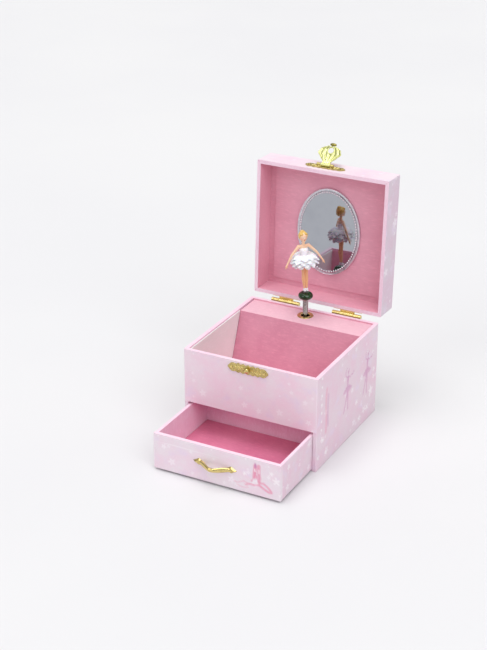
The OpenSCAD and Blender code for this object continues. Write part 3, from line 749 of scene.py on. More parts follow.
def paint(piece, axes, strokes):
    ink = piece.data.color_attributes.new("ink", "FLOAT_COLOR", "POINT")
    lows = [(min(p[0] for p in s[0]) - s[1] * 2, max(p[0] for p in s[0]) + s[1] * 2,
             min(p[1] for p in s[0]) - s[1] * 2, max(p[1] for p in s[0]) + s[1] * 2)
            for s in strokes]
    for vertex, cell in zip(piece.data.vertices, ink.data):
        at = Vector((vertex.co[axes[0]], vertex.co[axes[1]])) / MM
        colour = [0.0, 0.0, 0.0, 1.0]
        for (points, width, channel, amount, soft), (x0, x1, z0, z1) in zip(strokes, lows):
            if x0 < at.x < x1 and z0 < at.y < z1:
                far = near_stroke(at, points) / width
                wet = max(0.0, min(1.0, (1 - far) / soft)) * amount
                colour[channel] = max(colour[channel], wet)
        cell.color = colour
    print(piece.name, "painted over", len(piece.data.vertices), "points")


PINK, MAUVE, WHITE = 0, 1, 2


def small_dancer(x, z, lean, arm):
    """Strokes for one printed figure, about 34 mm tall, standing at (x, z)."""
    def s(points, width, ink=1.0, soft=0.6):
        placed = [(x + px + lean * pz, z + pz) for px, pz in points]
        return stroke(placed, width, MAUVE, ink, soft)
    return [
        s([(0.3, 32.6), (0.4, 33.1)], 1.55), s([(1.5, 34.2), (1.6, 34.3)], 0.8),
        s([(0.2, 31.6), (0.1, 29.4)], 0.6), s([(-0.9, 29), (0.9, 29)], 1.0),
        s([(0, 28.6), (-0.2, 26)], 1.8), s([(-0.2, 26), (-0.3, 21.5)], 1.35),
        s([(-3, 20.8), (3, 20.8)], 1.1, 0.9), s([(-5.2, 19.4), (5.2, 19.4)], 1.2, 0.8),
        s([(-7, 18), (7, 18)], 1.1, 0.7), s([(-5, 16.9), (5, 16.9)], 1.0, 0.6),
        s([(0.4, 18), (0.9, 10)], 1.15), s([(0.9, 10), (1.4, 2)], 0.9),
        s([(1.4, 2), (1.7, 0)], 0.5),
        s([(-0.8, 18), (-2.4, 10)], 1.1, 0.9), s([(-2.4, 10), (-arm, 2)], 0.85, 0.9),
        s([(-arm, 2), (-arm - 0.8, 0.4)], 0.5, 0.9),
        s([(0.9, 29), (4.2, 27.4), (arm + 3.6, 28.4), (arm + 5.6, 30)], 0.62, 0.95),
        s([(-0.9, 29), (-3.8, 30.6), (-4.6, 34), (-2.6, 36.8)], 0.62, 0.95),
    ]


def small_blossoms(places, spin):
    """Five short white petals round each (x, z), turned by spin degrees per millimetre."""
    petals = []
    for x, z, size in places:
        for petal in range(5):
            turn = math.radians(72 * petal + x * spin)
            tip = (x + size * math.cos(turn), z + size * math.sin(turn))
            petals.append(stroke([(x, z), tip], size * 0.36, WHITE, 0.8))
    return petals


side_strokes = small_dancer(-1.2, 25, 0.02, 5.5) + small_dancer(33.5, 24, 0.08, 4.5)
side_strokes += [stroke([(-46.4, z), (-46.4, z + 0.1)], 1.3, WHITE, 0.95)
                 for z in range(31, 75, 7)]
side_strokes += [stroke([(-38.4, 61), (-39.4, 48), (-38, 34), (-38.6, 26)], 2.6, PINK, 0.5, 0.95),
                 stroke([(-35.5, 55), (-36, 40), (-35, 30)], 2.0, MAUVE, 0.6, 0.9)]
side_strokes += small_blossoms(((-45.2, 22.4, 2.4), (43.5, 22.5, 3.2), (36.5, 10.8, 2.6),
                                (16.5, 24.5, 2.2), (22.5, 8, 2.2), (-51, 10, 1.8),
                                (-37.8, 8, 2.0), (48, 33, 1.6)), 7)
paint(boards["right_wall"], (1, 2), side_strokes)

# %% [markdown]
# The slippers hang from their ribbons: two narrow soles with a rounded toe
# cap, a white lining at the opening, and four ribbon ends that curl along the
# bottom of the drawer front.

# %% Slippers on the drawer
slipper_strokes = [
    stroke([(31.6, 26.6), (31.8, 24.6)], 1.3, MAUVE, 1.0),
    stroke([(31.6, 25), (31.2, 20), (30.8, 16)], 1.9, PINK, 1.0),
    stroke([(34.3, 25.6), (34.4, 20), (34.9, 15.5)], 1.8, PINK, 0.85),
    stroke([(31.3, 22.4), (31.5, 20.6)], 0.7, WHITE, 0.9),
    stroke([(34.5, 22.6), (34.6, 19.6)], 0.6, WHITE, 0.8),
    stroke([(30.6, 16), (29.4, 13.6), (28.4, 12)], 0.8, PINK, 0.7),
    stroke([(32, 19), (33.6, 14), (34.8, 10.6)], 0.6, PINK, 0.9),
    stroke([(34.8, 15.4), (35, 12.6), (34.6, 10.4)], 0.9, PINK, 0.9),
    stroke([(34.6, 10.4), (38.2, 8.4), (42.6, 6.4), (44.6, 6.8)], 1.2, PINK, 0.85),
    stroke([(34.8, 12.2), (38.4, 12.4), (41.5, 10.4), (44, 8)], 1.1, PINK, 0.8),
    stroke([(34.6, 10.4), (31, 9.4), (27.4, 9.6), (24, 8)], 1.0, PINK, 0.7),
    stroke([(27.4, 9.6), (22, 10.4), (17.6, 8.2), (14.6, 8.6)], 0.6, PINK, 0.45),
    stroke([(26, 6.2), (21, 5.2), (17, 6.4)], 0.6, PINK, 0.4),
]
slipper_strokes += small_blossoms(((48.2, 17, 2.6), (44.4, 22, 1.6), (23, 17, 1.5),
                                   (-28, 20, 2.4), (-40, 12, 2.0), (-34, 25, 1.6),
                                   (-46, 22, 2.2)), 5)
paint(boards["drawer_front"], (0, 2), slipper_strokes)

# %% [markdown]
# ## Small brass fittings
# Hinges, nails, pins, the eyelets and the winding key have the right shape
# already. What they lack is the small round that any pressed or turned brass
# has along its edges, because that line is what catches the light.

# %% Brass fittings
FITTINGS = [
    ("hinge_base_leaves", "case", 0.16, brass), ("hinge_lid_leaves", "lid", 0.16, brass),
    ("hinge_pins", "case", 0.12, brass), ("hinge_base_nails", "case", 0.22, brass),
    ("hinge_lid_nails", "lid", 0.22, brass), ("catch_stud", "case", 0.12, brass),
    ("catch_nails", "case", 0.22, brass), ("clasp_nails", "lid", 0.22, brass),
    ("clasp_pin", "lid", 0.12, brass), ("stage_grommet", "case", 0.1, brass),
    ("keyhole_eyelet", "case", 0.1, brass), ("winding_key", "winding_key", 0.3, brass),
]
for node_name, body, edge, material in FITTINGS:
    fitting = softened(node_name, "bright_" + node_name, edge, 3, 50, 35)
    finish_piece(fitting, body, "brass", material, node_name)
arbor = softened("winding_arbor", "bright_winding_arbor", 0.2, 2, 50, 35)
finish_piece(arbor, "winding_key", "movement_steel", nickel, "winding_arbor")

# %% [markdown]
# ## The embossed plates
# The catch plate and the clasp plate are one pressing with a beaded border
# and two leaf sprays. The flat shape comes from the frame. One small ball is
# copied round the border for the beads. The leaves are flattened balls set
# either side of a thin stem, all partly sunk into the plate.

# %% Pressed plate ornament
CLASP_X = -1.0


def emboss(x, y, z):
    """Beads and leaves on a plate whose middle is at x, z and front at y."""
    parts = []
    bead = ball((0, 0, 0), 0.36, (1, 0.8, 1), 5)
    for row in (-1, 1):
        for i in range(-8, 9):
            parts.append(twin(bead, Matrix.Translation(
                Vector((x + i * 1.35, y - 0.02, z + row * (3.0 - 0.02 * abs(i) ** 1.3))) * MM)))
    for side in (-1, 1):
        for i in range(5):
            angle = math.radians(-60 + 30 * i)
            parts.append(twin(bead, Matrix.Translation(
                Vector((x + side * (12.4 + 2.9 * math.cos(angle)), y - 0.02,
                        z + 2.9 * math.sin(angle))) * MM)))
        for reach, tilt, size in ((4.6, 24, 1.0), (4.6, -24, 1.0), (7.4, 20, 0.9),
                                  (7.4, -20, 0.9), (10.0, 16, 0.75), (10.0, -16, 0.75)):
            leaf = ball((0, 0, 0), 1.0, (1.5 * size, 0.42, 0.55 * size), 8)
            turn = Matrix.Rotation(math.radians(-side * tilt), 4, "Y")
            rise = 1.05 if tilt > 0 else -1.05
            leaf.data.transform(Matrix.Translation(
                Vector((x + side * reach, y, z + rise)) * MM) @ turn)
            parts.append(leaf)
        stem = rod((x + side * 2.6, y, z), (x + side * 11.6, y, z), 0.32, 0.2, 12)
        parts.append(stem)
    bpy.data.objects.remove(bead)
    return parts


def pressed_plate(node_name, name, y, z, body, swing=None):
    plate = softened(node_name, name, 0.25, 3, 50, 35)
    parts = emboss(CLASP_X, y, z)
    if swing is not None:
        for part in parts:
            part.data.transform(swing)
    plate.data.materials.clear()
    plate.data.materials.append(recess_brass)
    for part in parts:
        part.data.materials.append(stamped_brass)
    whole = join([plate] + parts)
    whole.name = name
    polish(whole, 50)
    return finish_piece(whole, body, "brass", None, node_name)


CASE_FRONT, PLATE_THICKNESS, CATCH_Z, CLASP_Z = -54.5, 0.8, 70.5, 83.5
plate_front = CASE_FRONT - PLATE_THICKNESS
pressed_plate("catch_plate", "embossed_catch_plate", plate_front, CATCH_Z, "case")
pressed_plate("clasp_plate", "embossed_clasp_plate", plate_front, CLASP_Z, "lid", SWING)

# %% [markdown]
# ## The clasp flap
# The flap is a small fan, pressed with flutes that run out from its neck, a
# raised ring round the eye that drops over the stud, and a curled lip to pull
# it by. It is built hanging down, as when the box is shut: a grid is bent
# into a fan, fluted by a wave, and given its thickness.

# %% Fluted fan
flap_joint = next(j for j in frame["joints"] if j["name"] == "clasp_hinge")
flap_at = Vector(flap_joint["pos_m"]) / MM
FLAP_TILT = 42.0
EYE_DROP = 13.0


# Half widths of the fan from its neck to its lip, at even steps.
FAN_WIDTHS = (3.8, 3.4, 4.2, 5.8, 7.5, 8.8, 9.4, 9.2, 8.3, 6.6, 3.9)


def fan_width(v):
    step = min(9.999, max(0.0, v * 10))
    low = int(step)
    share = step - low
    share = share * share * (3 - 2 * share)
    return FAN_WIDTHS[low] * (1 - share) + FAN_WIDTHS[low + 1] * share


def fan_point(u, v):
    """u runs across the fan from -1 to 1, v from the neck to the lip."""
    lobe = 1 + 0.035 * math.cos(v * math.pi * 7) * min(1.0, v * 3)
    x = fan_width(v) * u * lobe
    top = 0.5 * math.cos(u * math.pi * 3) * max(0.0, (v - 0.8) / 0.2)
    z = -(1.0 + 15.4 * v + top)
    flute = 0.30 * math.cos(u * math.pi * 5) * min(1.0, v * 2.2)
    dome = 1.1 * (1 - u * u) * math.sin(math.pi * min(1.0, v * 0.95))
    return Vector((x, -0.35 - dome - flute, z))


bpy.ops.mesh.primitive_grid_add(x_subdivisions=54, y_subdivisions=36, size=2)
fan = fresh()
for vertex in fan.data.vertices:
    vertex.co = fan_point(vertex.co.x, (vertex.co.y + 1) / 2) * MM
EYE_RADIUS = 2.6
choose_faces(fan, lambda face: math.hypot(face.center.x / MM,
                                          face.center.z / MM + EYE_DROP) < EYE_RADIUS)
bpy.ops.mesh.delete(type="FACE")
leave()
modify(fan, "SOLIDIFY", thickness=0.6 * MM, offset=0.0)
modify(fan, "SUBSURF", levels=1, render_levels=1)
bpy.ops.mesh.primitive_torus_add(major_segments=40, minor_segments=12, major_radius=2.75 * MM,
                                 minor_radius=0.42 * MM)
ring = fresh()
ring.data.transform(Matrix.Translation(Vector((0, -1.0, -EYE_DROP)) * MM)
                    @ Matrix.Rotation(math.radians(90), 4, "X"))
collar = rod((-3.9, 0, 0), (3.9, 0, 0), 1.2, 1.2, 32)
modify(collar, "BEVEL", width=0.18 * MM, segments=2, limit_method="ANGLE")
flap = join([fan, ring, collar])
LIFTED = (Matrix.Translation(Vector((CLASP_X, flap_at.y, flap_at.z)) * MM)
          @ Matrix.Rotation(-lid_angle, 4, "X")
          @ Matrix.Rotation(math.radians(-90 - FLAP_TILT), 4, "X"))
flap.data.transform(LIFTED)
seal(flap, "fluted_clasp_flap", 50, 0.001)
finish_piece(flap, "clasp_flap", "pale_brass", pale_brass, "clasp_flap")

# %% [markdown]
# The lip curls back on itself into a small dark scroll just past the end of
# the fan, a little to one side of the middle. Two balls are remeshed into one
# skin, because a scroll this small shows as a single rounded lump.

# %% Curled lip
lip = ball((0, 0, 0), 1.0, (2.8, 0.9, 1.3), 14)
curl = ball((1.3, -0.5, -0.1), 0.8, (1.3, 0.9, 0.9), 10)
lip = one_skin([lip, curl], 0.22, 0.6, 4)
lip.data.transform(LIFTED @ Matrix.Translation(Vector((0.5, -0.7, -18.0)) * MM))
seal(lip, "curled_clasp_lip", 60, 0.001)
finish_piece(lip, "clasp_flap", "pale_brass", tip_brass)

# %% [markdown]
# ## The drawer pull
# The pull is a little casting: arrow-shaped leaves lie on the drawer front,
# two straps slant out from them and meet in a short round grip. Castings have
# no seams, so a row of flattened balls and two wedges are joined and remeshed
# into one skin, which is then smoothed. Two pins go through the board.

# %% Cast bow pull
PULL = Vector((-0.9, -105.5, 16.6))
FOOT, BEND, OUT, DROP = 11.9, 1.8, 6.1, 0.3
parts = []
for step in range(-24, 25):
    x = step / 24 * (FOOT + 0.6)
    out = max(0.9, OUT * (1 - max(0.0, (abs(x) - BEND) / (FOOT - BEND))) + 0.4)
    waist = 1.55 + 0.45 * math.sin(math.pi * max(0.0, (abs(x) - BEND) / (FOOT - BEND)))
    thick = 1.5 if abs(x) <= BEND else 1.15
    parts.append(ball(PULL + Vector((x, -out, -DROP * (1 - abs(x) / FOOT))), 1.0,
                      (1.0, thick, waist), 10))
for side in (-1, 1):
    bpy.ops.mesh.primitive_cone_add(vertices=4, radius1=1, radius2=0.55, depth=1)
    leaf = fresh()
    leaf.data.transform(Matrix.Translation((PULL + Vector((side * (FOOT + 1.2), -0.62, 0))) * MM)
                        @ Matrix.Diagonal((5.2 * MM, 1.5 * MM, 2.95 * MM, 1))
                        @ Matrix.Rotation(math.radians(90), 4, "X"))
    parts.append(leaf)
pull = one_skin(parts, 0.16, 0.55, 8)
edit(pull)
bpy.ops.mesh.bisect(plane_co=(0, PULL.y * MM, 0), plane_no=(0, 1, 0), use_fill=True,
                    clear_outer=True)
leave()
pins = []
for side in (-1, 1):
    head = ball(PULL + Vector((side * FOOT, -1.5, 0)), 0.85, (1, 0.6, 1), 10)
    pin = rod(PULL + Vector((side * FOOT, -0.5, 0)), PULL + Vector((side * FOOT, 2.4, 0)), 0.45)
    pins += [head, pin]
seal(pull, "cast_drawer_pull", 40, 0.001)
pull = polish(join([pull] + pins), 45)
finish_piece(pull, "drawer", "brass", brass, "drawer_pull")

# %% [markdown]
# ## The mirror
# An oval glass sits in a silvered moulding with a row of beads between two
# round lips. The lips are swept along ellipses as curves, so they keep their
# width all the way round. The flat bands between them are inset discs, and
# the beads are one small ball copied at even steps along an ellipse.

# %% Oval frame and beads
CEILING = 94.5
FACE_Z = CEILING - 0.8


def oval_tube(rx, ry, z, radius):
    bpy.ops.curve.primitive_bezier_circle_add(radius=1)
    path = fresh()
    path.data.resolution_u = 36
    path.scale = (rx * MM, ry * MM, 1)
    only(path)
    bpy.ops.object.transform_apply(location=False, rotation=False, scale=True)
    path.data.bevel_depth = radius * MM
    path.data.bevel_resolution = 4
    bpy.ops.object.convert(target="MESH")
    tube = fresh()
    tube.data.transform(Matrix.Translation((0, 0, z * MM)))
    return tube


def oval_band(rx, ry, inner, z0, z1):
    """A flat band: a disc is inset and its middle removed, then thickened."""
    bpy.ops.mesh.primitive_circle_add(vertices=144, radius=1, fill_type="NGON")
    band = fresh()
    band.data.transform(Matrix.Diagonal((rx * MM, ry * MM, 1, 1)))
    edit(band, "FACE")
    bpy.ops.mesh.inset(thickness=inner * MM)
    bpy.ops.mesh.delete(type="FACE")
    leave()
    edit(band, "FACE")
    bpy.ops.mesh.extrude_region_move(TRANSFORM_OT_translate={"value": (0, 0, (z1 - z0) * MM)})
    leave()
    band.data.transform(Matrix.Translation((0, 0, z0 * MM)))
    return band


RX, RY = 27.0, 35.5
trim = [oval_band(RX - 0.35, RY - 0.35, 1.75, FACE_Z - 1.3, FACE_Z),
        oval_band(RX - 2.05, RY - 2.05, 2.05, FACE_Z - 1.1, FACE_Z),
        oval_tube(RX - 0.55, RY - 0.55, FACE_Z - 1.3, 0.5),
        oval_tube(RX - 4.05, RY - 4.05, FACE_Z - 1.2, 0.22)]
# The inner flat band is near black: painted shade between the beads.
for part, finish in zip(trim, (silver_rim, bead_channel_shade, silver_trim, silver_trim)):
    part.data.materials.clear()
    part.data.materials.append(finish)
bead = ball((0, 0, 0), 0.82, (1, 1, 1), 7)
bead.data.materials.append(silver_trim)
WALK_STEPS, BEADS = 2000, 84
BEAD_X, BEAD_Y = RX - 3.05, RY - 3.05
ring_points, run = [], 0.0
last = Vector((BEAD_X, 0))
for i in range(WALK_STEPS + 1):
    turn = 2 * math.pi * i / WALK_STEPS
    at = Vector((BEAD_X * math.cos(turn), BEAD_Y * math.sin(turn)))
    run += (at - last).length
    last = at
    ring_points.append((run, at))
strung = 0
for along, at in ring_points:
    if strung < BEADS and along >= run * strung / BEADS:
        trim.append(twin(bead, Matrix.Translation(Vector((at.x, at.y, FACE_Z - 1.6)) * MM)))
        strung += 1
bpy.data.objects.remove(bead)
mirror_trim = join(trim)
mirror_trim.data.transform(SWING)
seal(mirror_trim, "beaded_mirror_frame", 40, 0.0005)
finish_piece(mirror_trim, "lid", "mirror_trim", None, "mirror_frame")

glass = softened("mirror_glass", "silvered_mirror", 0.3, 2, 10, 30)
finish_piece(glass, "lid", "mirror", mirror_glass, "mirror_glass")

# %% [markdown]
# ## The spring
# The dancer stands on a close-wound spring, which lets her fold down under
# the closing lid. A wire circle is screwed up the axis. The spring is made in
# two lengths: the lower from the case to the middle of the spring, the upper
# from there to the socket.

# %% Close-wound spring
SPINDLE = Vector((-2, 43, 0))


def coil(name, z0, z1, turns):
    bpy.ops.mesh.primitive_circle_add(vertices=10, radius=0.255 * MM, fill_type="NGON",
                                      rotation=(math.radians(90), 0, 0),
                                      location=(1.88 * MM, 0, 0))
    wire = place_now(fresh())
    modify(wire, "SCREW", axis="Z", angle=2 * math.pi * turns, screw_offset=(z1 - z0) * MM,
           iterations=1, steps=26 * turns, render_steps=26 * turns, use_merge_vertices=False,
           use_smooth_shade=True)
    wire.data.transform(Matrix.Translation(Vector((SPINDLE.x, SPINDLE.y, z0 + 0.3)) * MM))
    return seal(wire, name, 60, 0.002)


lower = coil("spring_lower_coils", 75.6, 81.9, 12)
upper = coil("spring_upper_coils", 81.9, 87.3, 10)
for piece in (lower, upper):
    piece.data.materials.append(spring_wire)
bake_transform(lower)
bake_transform(upper)
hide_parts("dancer_spring")
print("spring wound")

# %% [markdown]
# ## The dancer's base
# A dark green moulded cushion, rounder than the turned shape in the frame,
# with a small recess where the slippers are glued.

# %% Green base
base = ball((SPINDLE.x, SPINDLE.y, 91.4), 5.75, (1, 1, 0.62), 24)
edit(base)
bpy.ops.mesh.bisect(plane_co=(0, 0, 94.7 * MM), plane_no=(0, 0, 1), use_fill=True,
                    clear_outer=True)
bpy.ops.mesh.select_all(action="SELECT")
bpy.ops.mesh.bisect(plane_co=(0, 0, 88.1 * MM), plane_no=(0, 0, 1), use_fill=True,
                    clear_inner=True)
leave()
choose_faces(base, lambda face: face.normal.z > 0.99 and face.center.z > 94.6 * MM)
bpy.ops.mesh.inset(thickness=0.5 * MM)
bpy.ops.transform.translate(value=(0, 0, -0.25 * MM))
leave()
modify(base, "BEVEL", width=0.25 * MM, segments=3, limit_method="ANGLE",
       angle_limit=math.radians(25))
seal(base, "green_dancer_base", 40)
finish_piece(base, "dancer", "green_plastic", bottle_green, "dancer_base")

# %% [markdown]
# ## The dancer
# The doll is moulded plastic about 50 mm tall with feet together and arms
# held out and down. Limbs are tapered rods with balls at the joints. Joined
# and remeshed they become one skin, and a light smoothing takes the joins
# away. Everything is made facing the front on its own axis, then turned to
# where she looks and set on the base.

# %% Doll skin finish
def doll_finish():
    material, tree, shader = finish_start("painted_doll_skin", 0.36)
    shader.inputs["Subsurface Weight"].default_value = 0.12
    shader.inputs["Subsurface Scale"].default_value = 0.0012
    shader.inputs["Coat Weight"].default_value = 0.15
    coords = here(tree)
    flow = noise(tree, coords, 160, 3, 0.5)
    colour = blend_colour(tree, spread(tree, flow, 0.3, 0.7), linear(247, 212, 180),
                          linear(242, 200, 164))
    height = node(tree, "SeparateXYZ", {0: coords}).outputs["Z"]
    colour = blend_colour(tree, spread(tree, height, 0.122, 0.112), colour,
                          linear(244, 192, 140))
    skin = noise(tree, coords, 2600, 2, 0.5)
    for _, at, radius, ink, depth in FACE_PAINT:
        centre = DANCER @ (Vector(at) * MM)
        far = node(tree, "VectorMath", {0: coords, 1: centre},
                   operation="DISTANCE").outputs["Value"]
        colour = blend_colour(tree, spread(tree, far, radius * MM, radius * 0.72 * MM, 0, depth),
                              colour, linear(*ink))
    tree.links.new(colour, shader.inputs["Base Color"])
    tree.links.new(spread(tree, skin, 0.3, 0.7, 0.30, 0.44), shader.inputs["Roughness"])
    bump(tree, shader, skin, 0.004, 0.4)
    return material


FACING = math.radians(45)
LEAN = math.radians(4)
DANCER = (Matrix.Translation(Vector((-2, 43, 95.2)) * MM) @ Matrix.Rotation(-LEAN, 4, "Y")
          @ Matrix.Rotation(FACING, 4, "Z"))
HEAD_Z = 44.4
FACE_PAINT = [
    ("cheek_left", (-1.75, -3.1, HEAD_Z - 0.9), 1.0, (236, 150, 128), 0.35),
    ("cheek_right", (1.75, -3.1, HEAD_Z - 0.9), 1.0, (236, 150, 128), 0.35),
    ("eye_white_left", (-1.15, -3.55, HEAD_Z + 0.25), 0.58, (252, 248, 244), 0.9),
    ("eye_white_right", (1.15, -3.55, HEAD_Z + 0.25), 0.58, (252, 248, 244), 0.9),
    ("eye_left", (-1.12, -3.6, HEAD_Z + 0.22), 0.42, (38, 40, 60), 1.0),
    ("eye_right", (1.12, -3.6, HEAD_Z + 0.22), 0.42, (38, 40, 60), 1.0),
    ("brow_left", (-1.25, -3.4, HEAD_Z + 1.15), 0.34, (150, 104, 52), 0.7),
    ("brow_right", (1.25, -3.4, HEAD_Z + 1.15), 0.34, (150, 104, 52), 0.7),
    ("lips", (0, -3.2, HEAD_Z - 1.95), 0.55, (206, 70, 78), 1.0),
]
doll_skin = doll_finish()
bodice_cloth = plastic("painted_white_bodice", linear(254, 252, 255), linear(246, 242, 250), 0.28,
                       500, 0.3)
blonde = plastic("moulded_blonde_hair", linear(240, 206, 120), linear(216, 170, 82), 0.30,
                 700, 0.2)
print("doll finishes made")

# %% [markdown]
# The body has a small waist, a rounded bust and hips, a slim neck and an oval
# head with a chin and a small nose. The features are painted, as on the real
# kind of doll, and the face is a plain calm one.

# %% Doll body
parts = []
for side in (-1, 1):
    parts += [rod((side * 0.95, 0.2, 1.2), (side * 1.0, 0.1, 4), 0.75, 0.85),
              rod((side * 1.0, 0.1, 4), (side * 1.25, 0.3, 10.5), 0.85, 1.45),
              ball((side * 1.25, 0.45, 10.5), 1.5, (1, 1, 1.6)),
              rod((side * 1.25, 0.3, 11), (side * 1.3, 0, 15.2), 1.42, 1.2),
              ball((side * 1.3, -0.15, 15.6), 1.28, (1, 1, 1.1)),
              rod((side * 1.3, 0, 15.5), (side * 1.7, 0, 24), 1.25, 2.1)]
    shoulder = (side * 4.1, 0.1, 37.1)
    elbow = (side * 10.0, -0.5, 31.0)
    wrist = (side * 13.9, -1.3, 25.0)
    palm = (side * 15.1, -1.6, 23.0)
    parts += [ball(shoulder, 1.35), rod(shoulder, elbow, 1.25, 1.0), ball(elbow, 1.02),
              rod(elbow, wrist, 1.0, 0.66), ball(wrist, 0.68),
              rod(wrist, palm, 0.66, 0.78), ball(palm, 0.78),
              rod(palm, (side * 15.9, -1.8, 21.2), 0.55, 0.34),
              rod((side * 14.7, -1.7, 23.2), (side * 14.2, -2.2, 21.9), 0.32, 0.26)]
parts += [ball((0, 0.1, 25.2), 3.3, (1.05, 0.82, 0.85)), rod((0, 0, 25), (0, 0, 29.8), 2.9, 2.15),
          rod((0, 0, 29.4), (0, 0, 34.8), 2.15, 3.0), ball((0, 0, 34.6), 3.0, (1.08, 0.78, 1.0)),
          ball((-1.35, -1.55, 34.3), 1.45), ball((1.35, -1.55, 34.3), 1.45),
          rod((-3.9, 0.1, 37.0), (3.9, 0.1, 37.0), 1.3),
          rod((0, 0.2, 36.6), (0, 0.1, 41.2), 1.4, 1.05),
          ball((0, -0.2, HEAD_Z + 0.3), 3.35, (0.93, 1.0, 1.08), 24),
          ball((0, -1.1, HEAD_Z - 2.0), 1.9, (1.0, 1.0, 0.9)),
          ball((0, -2.5, HEAD_Z - 2.75), 0.75),
          ball((0, -3.55, HEAD_Z - 0.55), 0.42, (0.9, 1.1, 1.2), 8)]
body = one_skin(parts, 0.17, 0.5, 6)
body.data.transform(DANCER)
seal(body, "doll_body", 60, 0.001)
finish_piece(body, "dancer", "doll_plastic", doll_skin, "dancer_figure")

# %% [markdown]
# Her hair is swept up into a bun with a small fringe, moulded with combed
# grooves. A cap of balls is remeshed, then a wave runs over it for the combed
# look.

# %% Hair
parts = [ball((0, 0.55, HEAD_Z + 0.95), 3.5, (0.98, 0.95, 0.98), 20),
         ball((0, 1.4, HEAD_Z + 3.6), 1.75, (1.1, 1.0, 0.8), 16),
         ball((0, 2.2, HEAD_Z - 0.8), 2.2, (1.2, 0.8, 1.1), 16)]
for side in (-1, 1):
    parts.append(ball((side * 1.5, -2.0, HEAD_Z + 2.75), 1.15, (1.25, 0.8, 0.75), 12))
    parts.append(ball((side * 2.75, -0.9, HEAD_Z + 1.2), 0.95, (0.7, 0.9, 1.6), 12))
hair = one_skin(parts, 0.17, 0.5, 4)
for vertex in hair.data.vertices:
    at = vertex.co / MM
    around = math.atan2(at.x, -at.y + 0.4)
    swirl = 0.09 * math.sin(around * 17 + at.z * 1.2)
    vertex.co += vertex.normal * swirl * MM
hair.data.transform(DANCER)
seal(hair, "doll_hair", 60, 0.001)
finish_piece(hair, "dancer", "doll_plastic", blonde)

# %% [markdown]
# The strapless bodice and the slippers are separate thin mouldings. They are
# built of the same kind of balls and rods as the body under them, a little
# larger, remeshed into one skin, and cut flat at the neckline and the soles.

# %% Bodice and slippers
parts = [ball((0, 0, 34.2), 3.25, (1.07, 0.82, 0.86), 20),
         rod((0, 0, 25.6), (0, 0, 30), 3.05, 2.42),
         rod((0, 0, 29.8), (0, 0, 34.2), 2.42, 3.2),
         ball((-1.35, -1.5, 34.2), 1.75), ball((1.35, -1.5, 34.2), 1.75)]
bodice = one_skin(parts, 0.17, 0.5, 3)
edit(bodice)
bpy.ops.mesh.bisect(plane_co=(0, 0, 35.7 * MM), plane_no=(0, 0.25, 1), use_fill=True,
                    clear_outer=True)
leave()
bodice.data.transform(DANCER)
seal(bodice, "doll_bodice", 55, 0.001)
finish_piece(bodice, "dancer", "doll_plastic", bodice_cloth)

parts = []
for side in (-1, 1):
    parts += [ball((side * 1.0, -0.75, 0.85), 1.0, (0.95, 1.75, 0.85), 16),
              rod((side * 1.0, 0.2, 0.6), (side * 1.0, 0.12, 2.6), 1.02, 1.0),
              ball((side * 1.0, 0.65, 0.8), 0.9, (0.95, 1.0, 0.9), 12)]
slippers = one_skin(parts, 0.15, 0.5, 3)
edit(slippers)
bpy.ops.mesh.bisect(plane_co=(0, 0, 0), plane_no=(0, 0, 1), use_fill=True, clear_inner=True)
leave()
slippers.data.transform(DANCER)
seal(slippers, "doll_slippers", 50, 0.001)
finish_piece(slippers, "dancer", "doll_plastic", bodice_cloth)

# %% [markdown]
# ## The tutu
# The skirt is a long strip of thin gauze, snipped into petals and gathered at
# the waist in four tiers. One petal is a small grid, bent into a cup with a
# ruffled rim; each tier repeats it round the waist with a little chance in
# its length and fall. The length follows from the area of the finished
# petals, so the declared area agrees with the mesh by the way it is made.

# %% Gauze finish
def gauze_finish():
    material, tree, shader = finish_start("white_gauze", 0.55)
    shader.inputs["Sheen Weight"].default_value = 0.45
    shader.inputs["Sheen Roughness"].default_value = 0.35
    shader.inputs["Subsurface Weight"].default_value = 0.2
    shader.inputs["Subsurface Scale"].default_value = 0.001
    coords = node(tree, "TexCoord").outputs["UV"]
    weave = node(tree, "TexChecker", {"Vector": coords, "Scale": 900}).outputs["Fac"]
    # The gauze is white. The lilac-grey where the fold noise is high and the pink patches below
    # are painted shade, spread by noise.
    fold = noise(tree, here(tree), 420, 4, 0.6)
    colour = blend_colour(tree, spread(tree, fold, 0.35, 0.7), linear(255, 255, 255),
                          linear(245, 241, 250))
    rosy_shade = noise(tree, here(tree), 130, 2, 0.5)
    colour = blend_colour(tree, spread(tree, rosy_shade, 0.5, 0.75, 0, 0.35), colour,
                          linear(248, 226, 242))
    tree.links.new(colour, shader.inputs["Base Color"])
    bump(tree, shader, maths(tree, "ADD", maths(tree, "MULTIPLY", weave, 0.3), fold), 0.05, 0.5)
    return material


gauze = gauze_finish()


def petal(length, width, rise, fall, seed):
    """One cupped petal of gauze that grows from the waist along +X."""
    dice = random.Random(seed)
    waves, shift = 3 + seed % 2, dice.random() * 6
    bpy.ops.mesh.primitive_grid_add(x_subdivisions=14, y_subdivisions=12, size=2)
    leaf = fresh()
    for vertex in leaf.data.vertices:
        v, u = (vertex.co.x + 1) / 2, vertex.co.y
        half = width * (0.24 + 0.76 * math.sin(math.pi * min(1.0, 0.12 + 0.62 * v)) ** 1.2)
        half *= math.sqrt(max(0.05, 1 - max(0.0, (v - 0.62) / 0.40) ** 2))
        along = length * (v - 0.10 * u * u * v)
        cup = 0.30 * half * (1 - u * u) * math.sin(math.pi * min(1.0, 0.15 + 0.8 * v))
        ruffle = 0.26 * math.sin(u * math.pi * waves + shift) * v * v
        vertex.co = Vector((2.3 + along, half * u,
                            rise * math.sin(math.pi * 0.5 * min(1, v * 1.4))
                            - fall * v ** 1.8 + cup + ruffle)) * MM
    return leaf


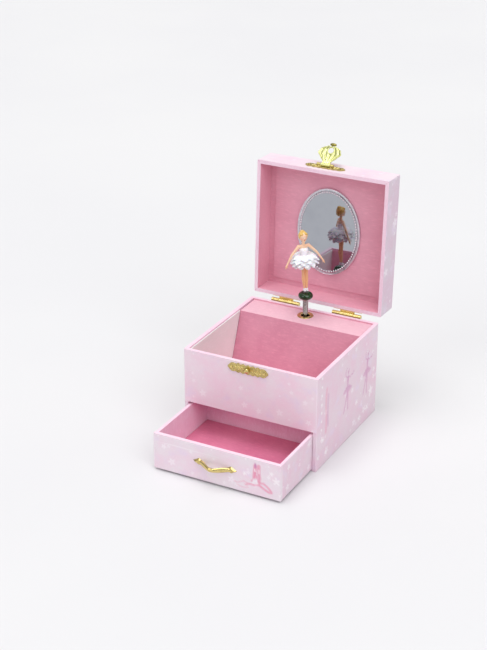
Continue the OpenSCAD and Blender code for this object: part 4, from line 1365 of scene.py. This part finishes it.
def tier(count, z, length, width, rise, fall, phase, seed):
    """A ring of petals, each a little different in length and tilt."""
    dice = random.Random(seed)
    ring = []
    for number in range(count):
        size = 0.92 + 0.16 * dice.random()
        leaf = petal(length * size, width, rise + 0.5 * (dice.random() - 0.5),
                     fall + 0.9 * (dice.random() - 0.5), seed * 20 + number)
        turn = 2 * math.pi * (number + phase + 0.15 * dice.random()) / count
        leaf.data.transform(Matrix.Translation((0, 0, z * MM)) @ Matrix.Rotation(turn, 4, "Z"))
        ring.append(leaf)
    return ring


TIERS = ((10, 29.4, 8.0, 3.7, 1.5, 3.4, 0.0, 3), (11, 28.6, 8.9, 3.8, 0.7, 4.4, 0.5, 5),
         (10, 27.7, 8.6, 3.8, 0.0, 5.4, 0.2, 8), (9, 26.6, 6.8, 3.4, -0.3, 5.6, 0.7, 9))
tutu = join([leaf for row in TIERS for leaf in tier(*row)])
tutu.data.transform(DANCER)
layer = tutu.data.uv_layers.new(name="cloth")
for corner, slot_uv in zip(tutu.data.loops, layer.data):
    at = tutu.data.vertices[corner.vertex_index].co
    slot_uv.uv = (at.x * 10, at.y * 10)
modify(tutu, "SOLIDIFY", thickness=0.14 * MM, offset=0.0)
seal(tutu, "petal_tutu", 70, 0.0005)
finish_piece(tutu, "dancer", "tutu_gauze", gauze, "dancer_tutu")

# %% [markdown]
# ## The table
# A plain pale table top, much larger than the view, with the faint cloudiness
# of painted board.

# %% Table top
bpy.ops.mesh.primitive_plane_add(size=80, location=(0, 0, -0.0002))
table = fresh()
table.name = "table_top"
edit(table)
bpy.ops.mesh.subdivide(number_cuts=4)
leave()
material, tree, shader = finish_start("painted_table", 0.55)
tone = noise(tree, here(tree), 2.5, 3, 0.5)
tree.links.new(blend_colour(tree, spread(tree, tone, 0.3, 0.7), linear(228, 228, 229),
                            linear(225, 225, 227)), shader.inputs["Base Color"])
table.data.materials.append(material)
print("table laid")

# %% [markdown]

# %% End
print("scene dressed")
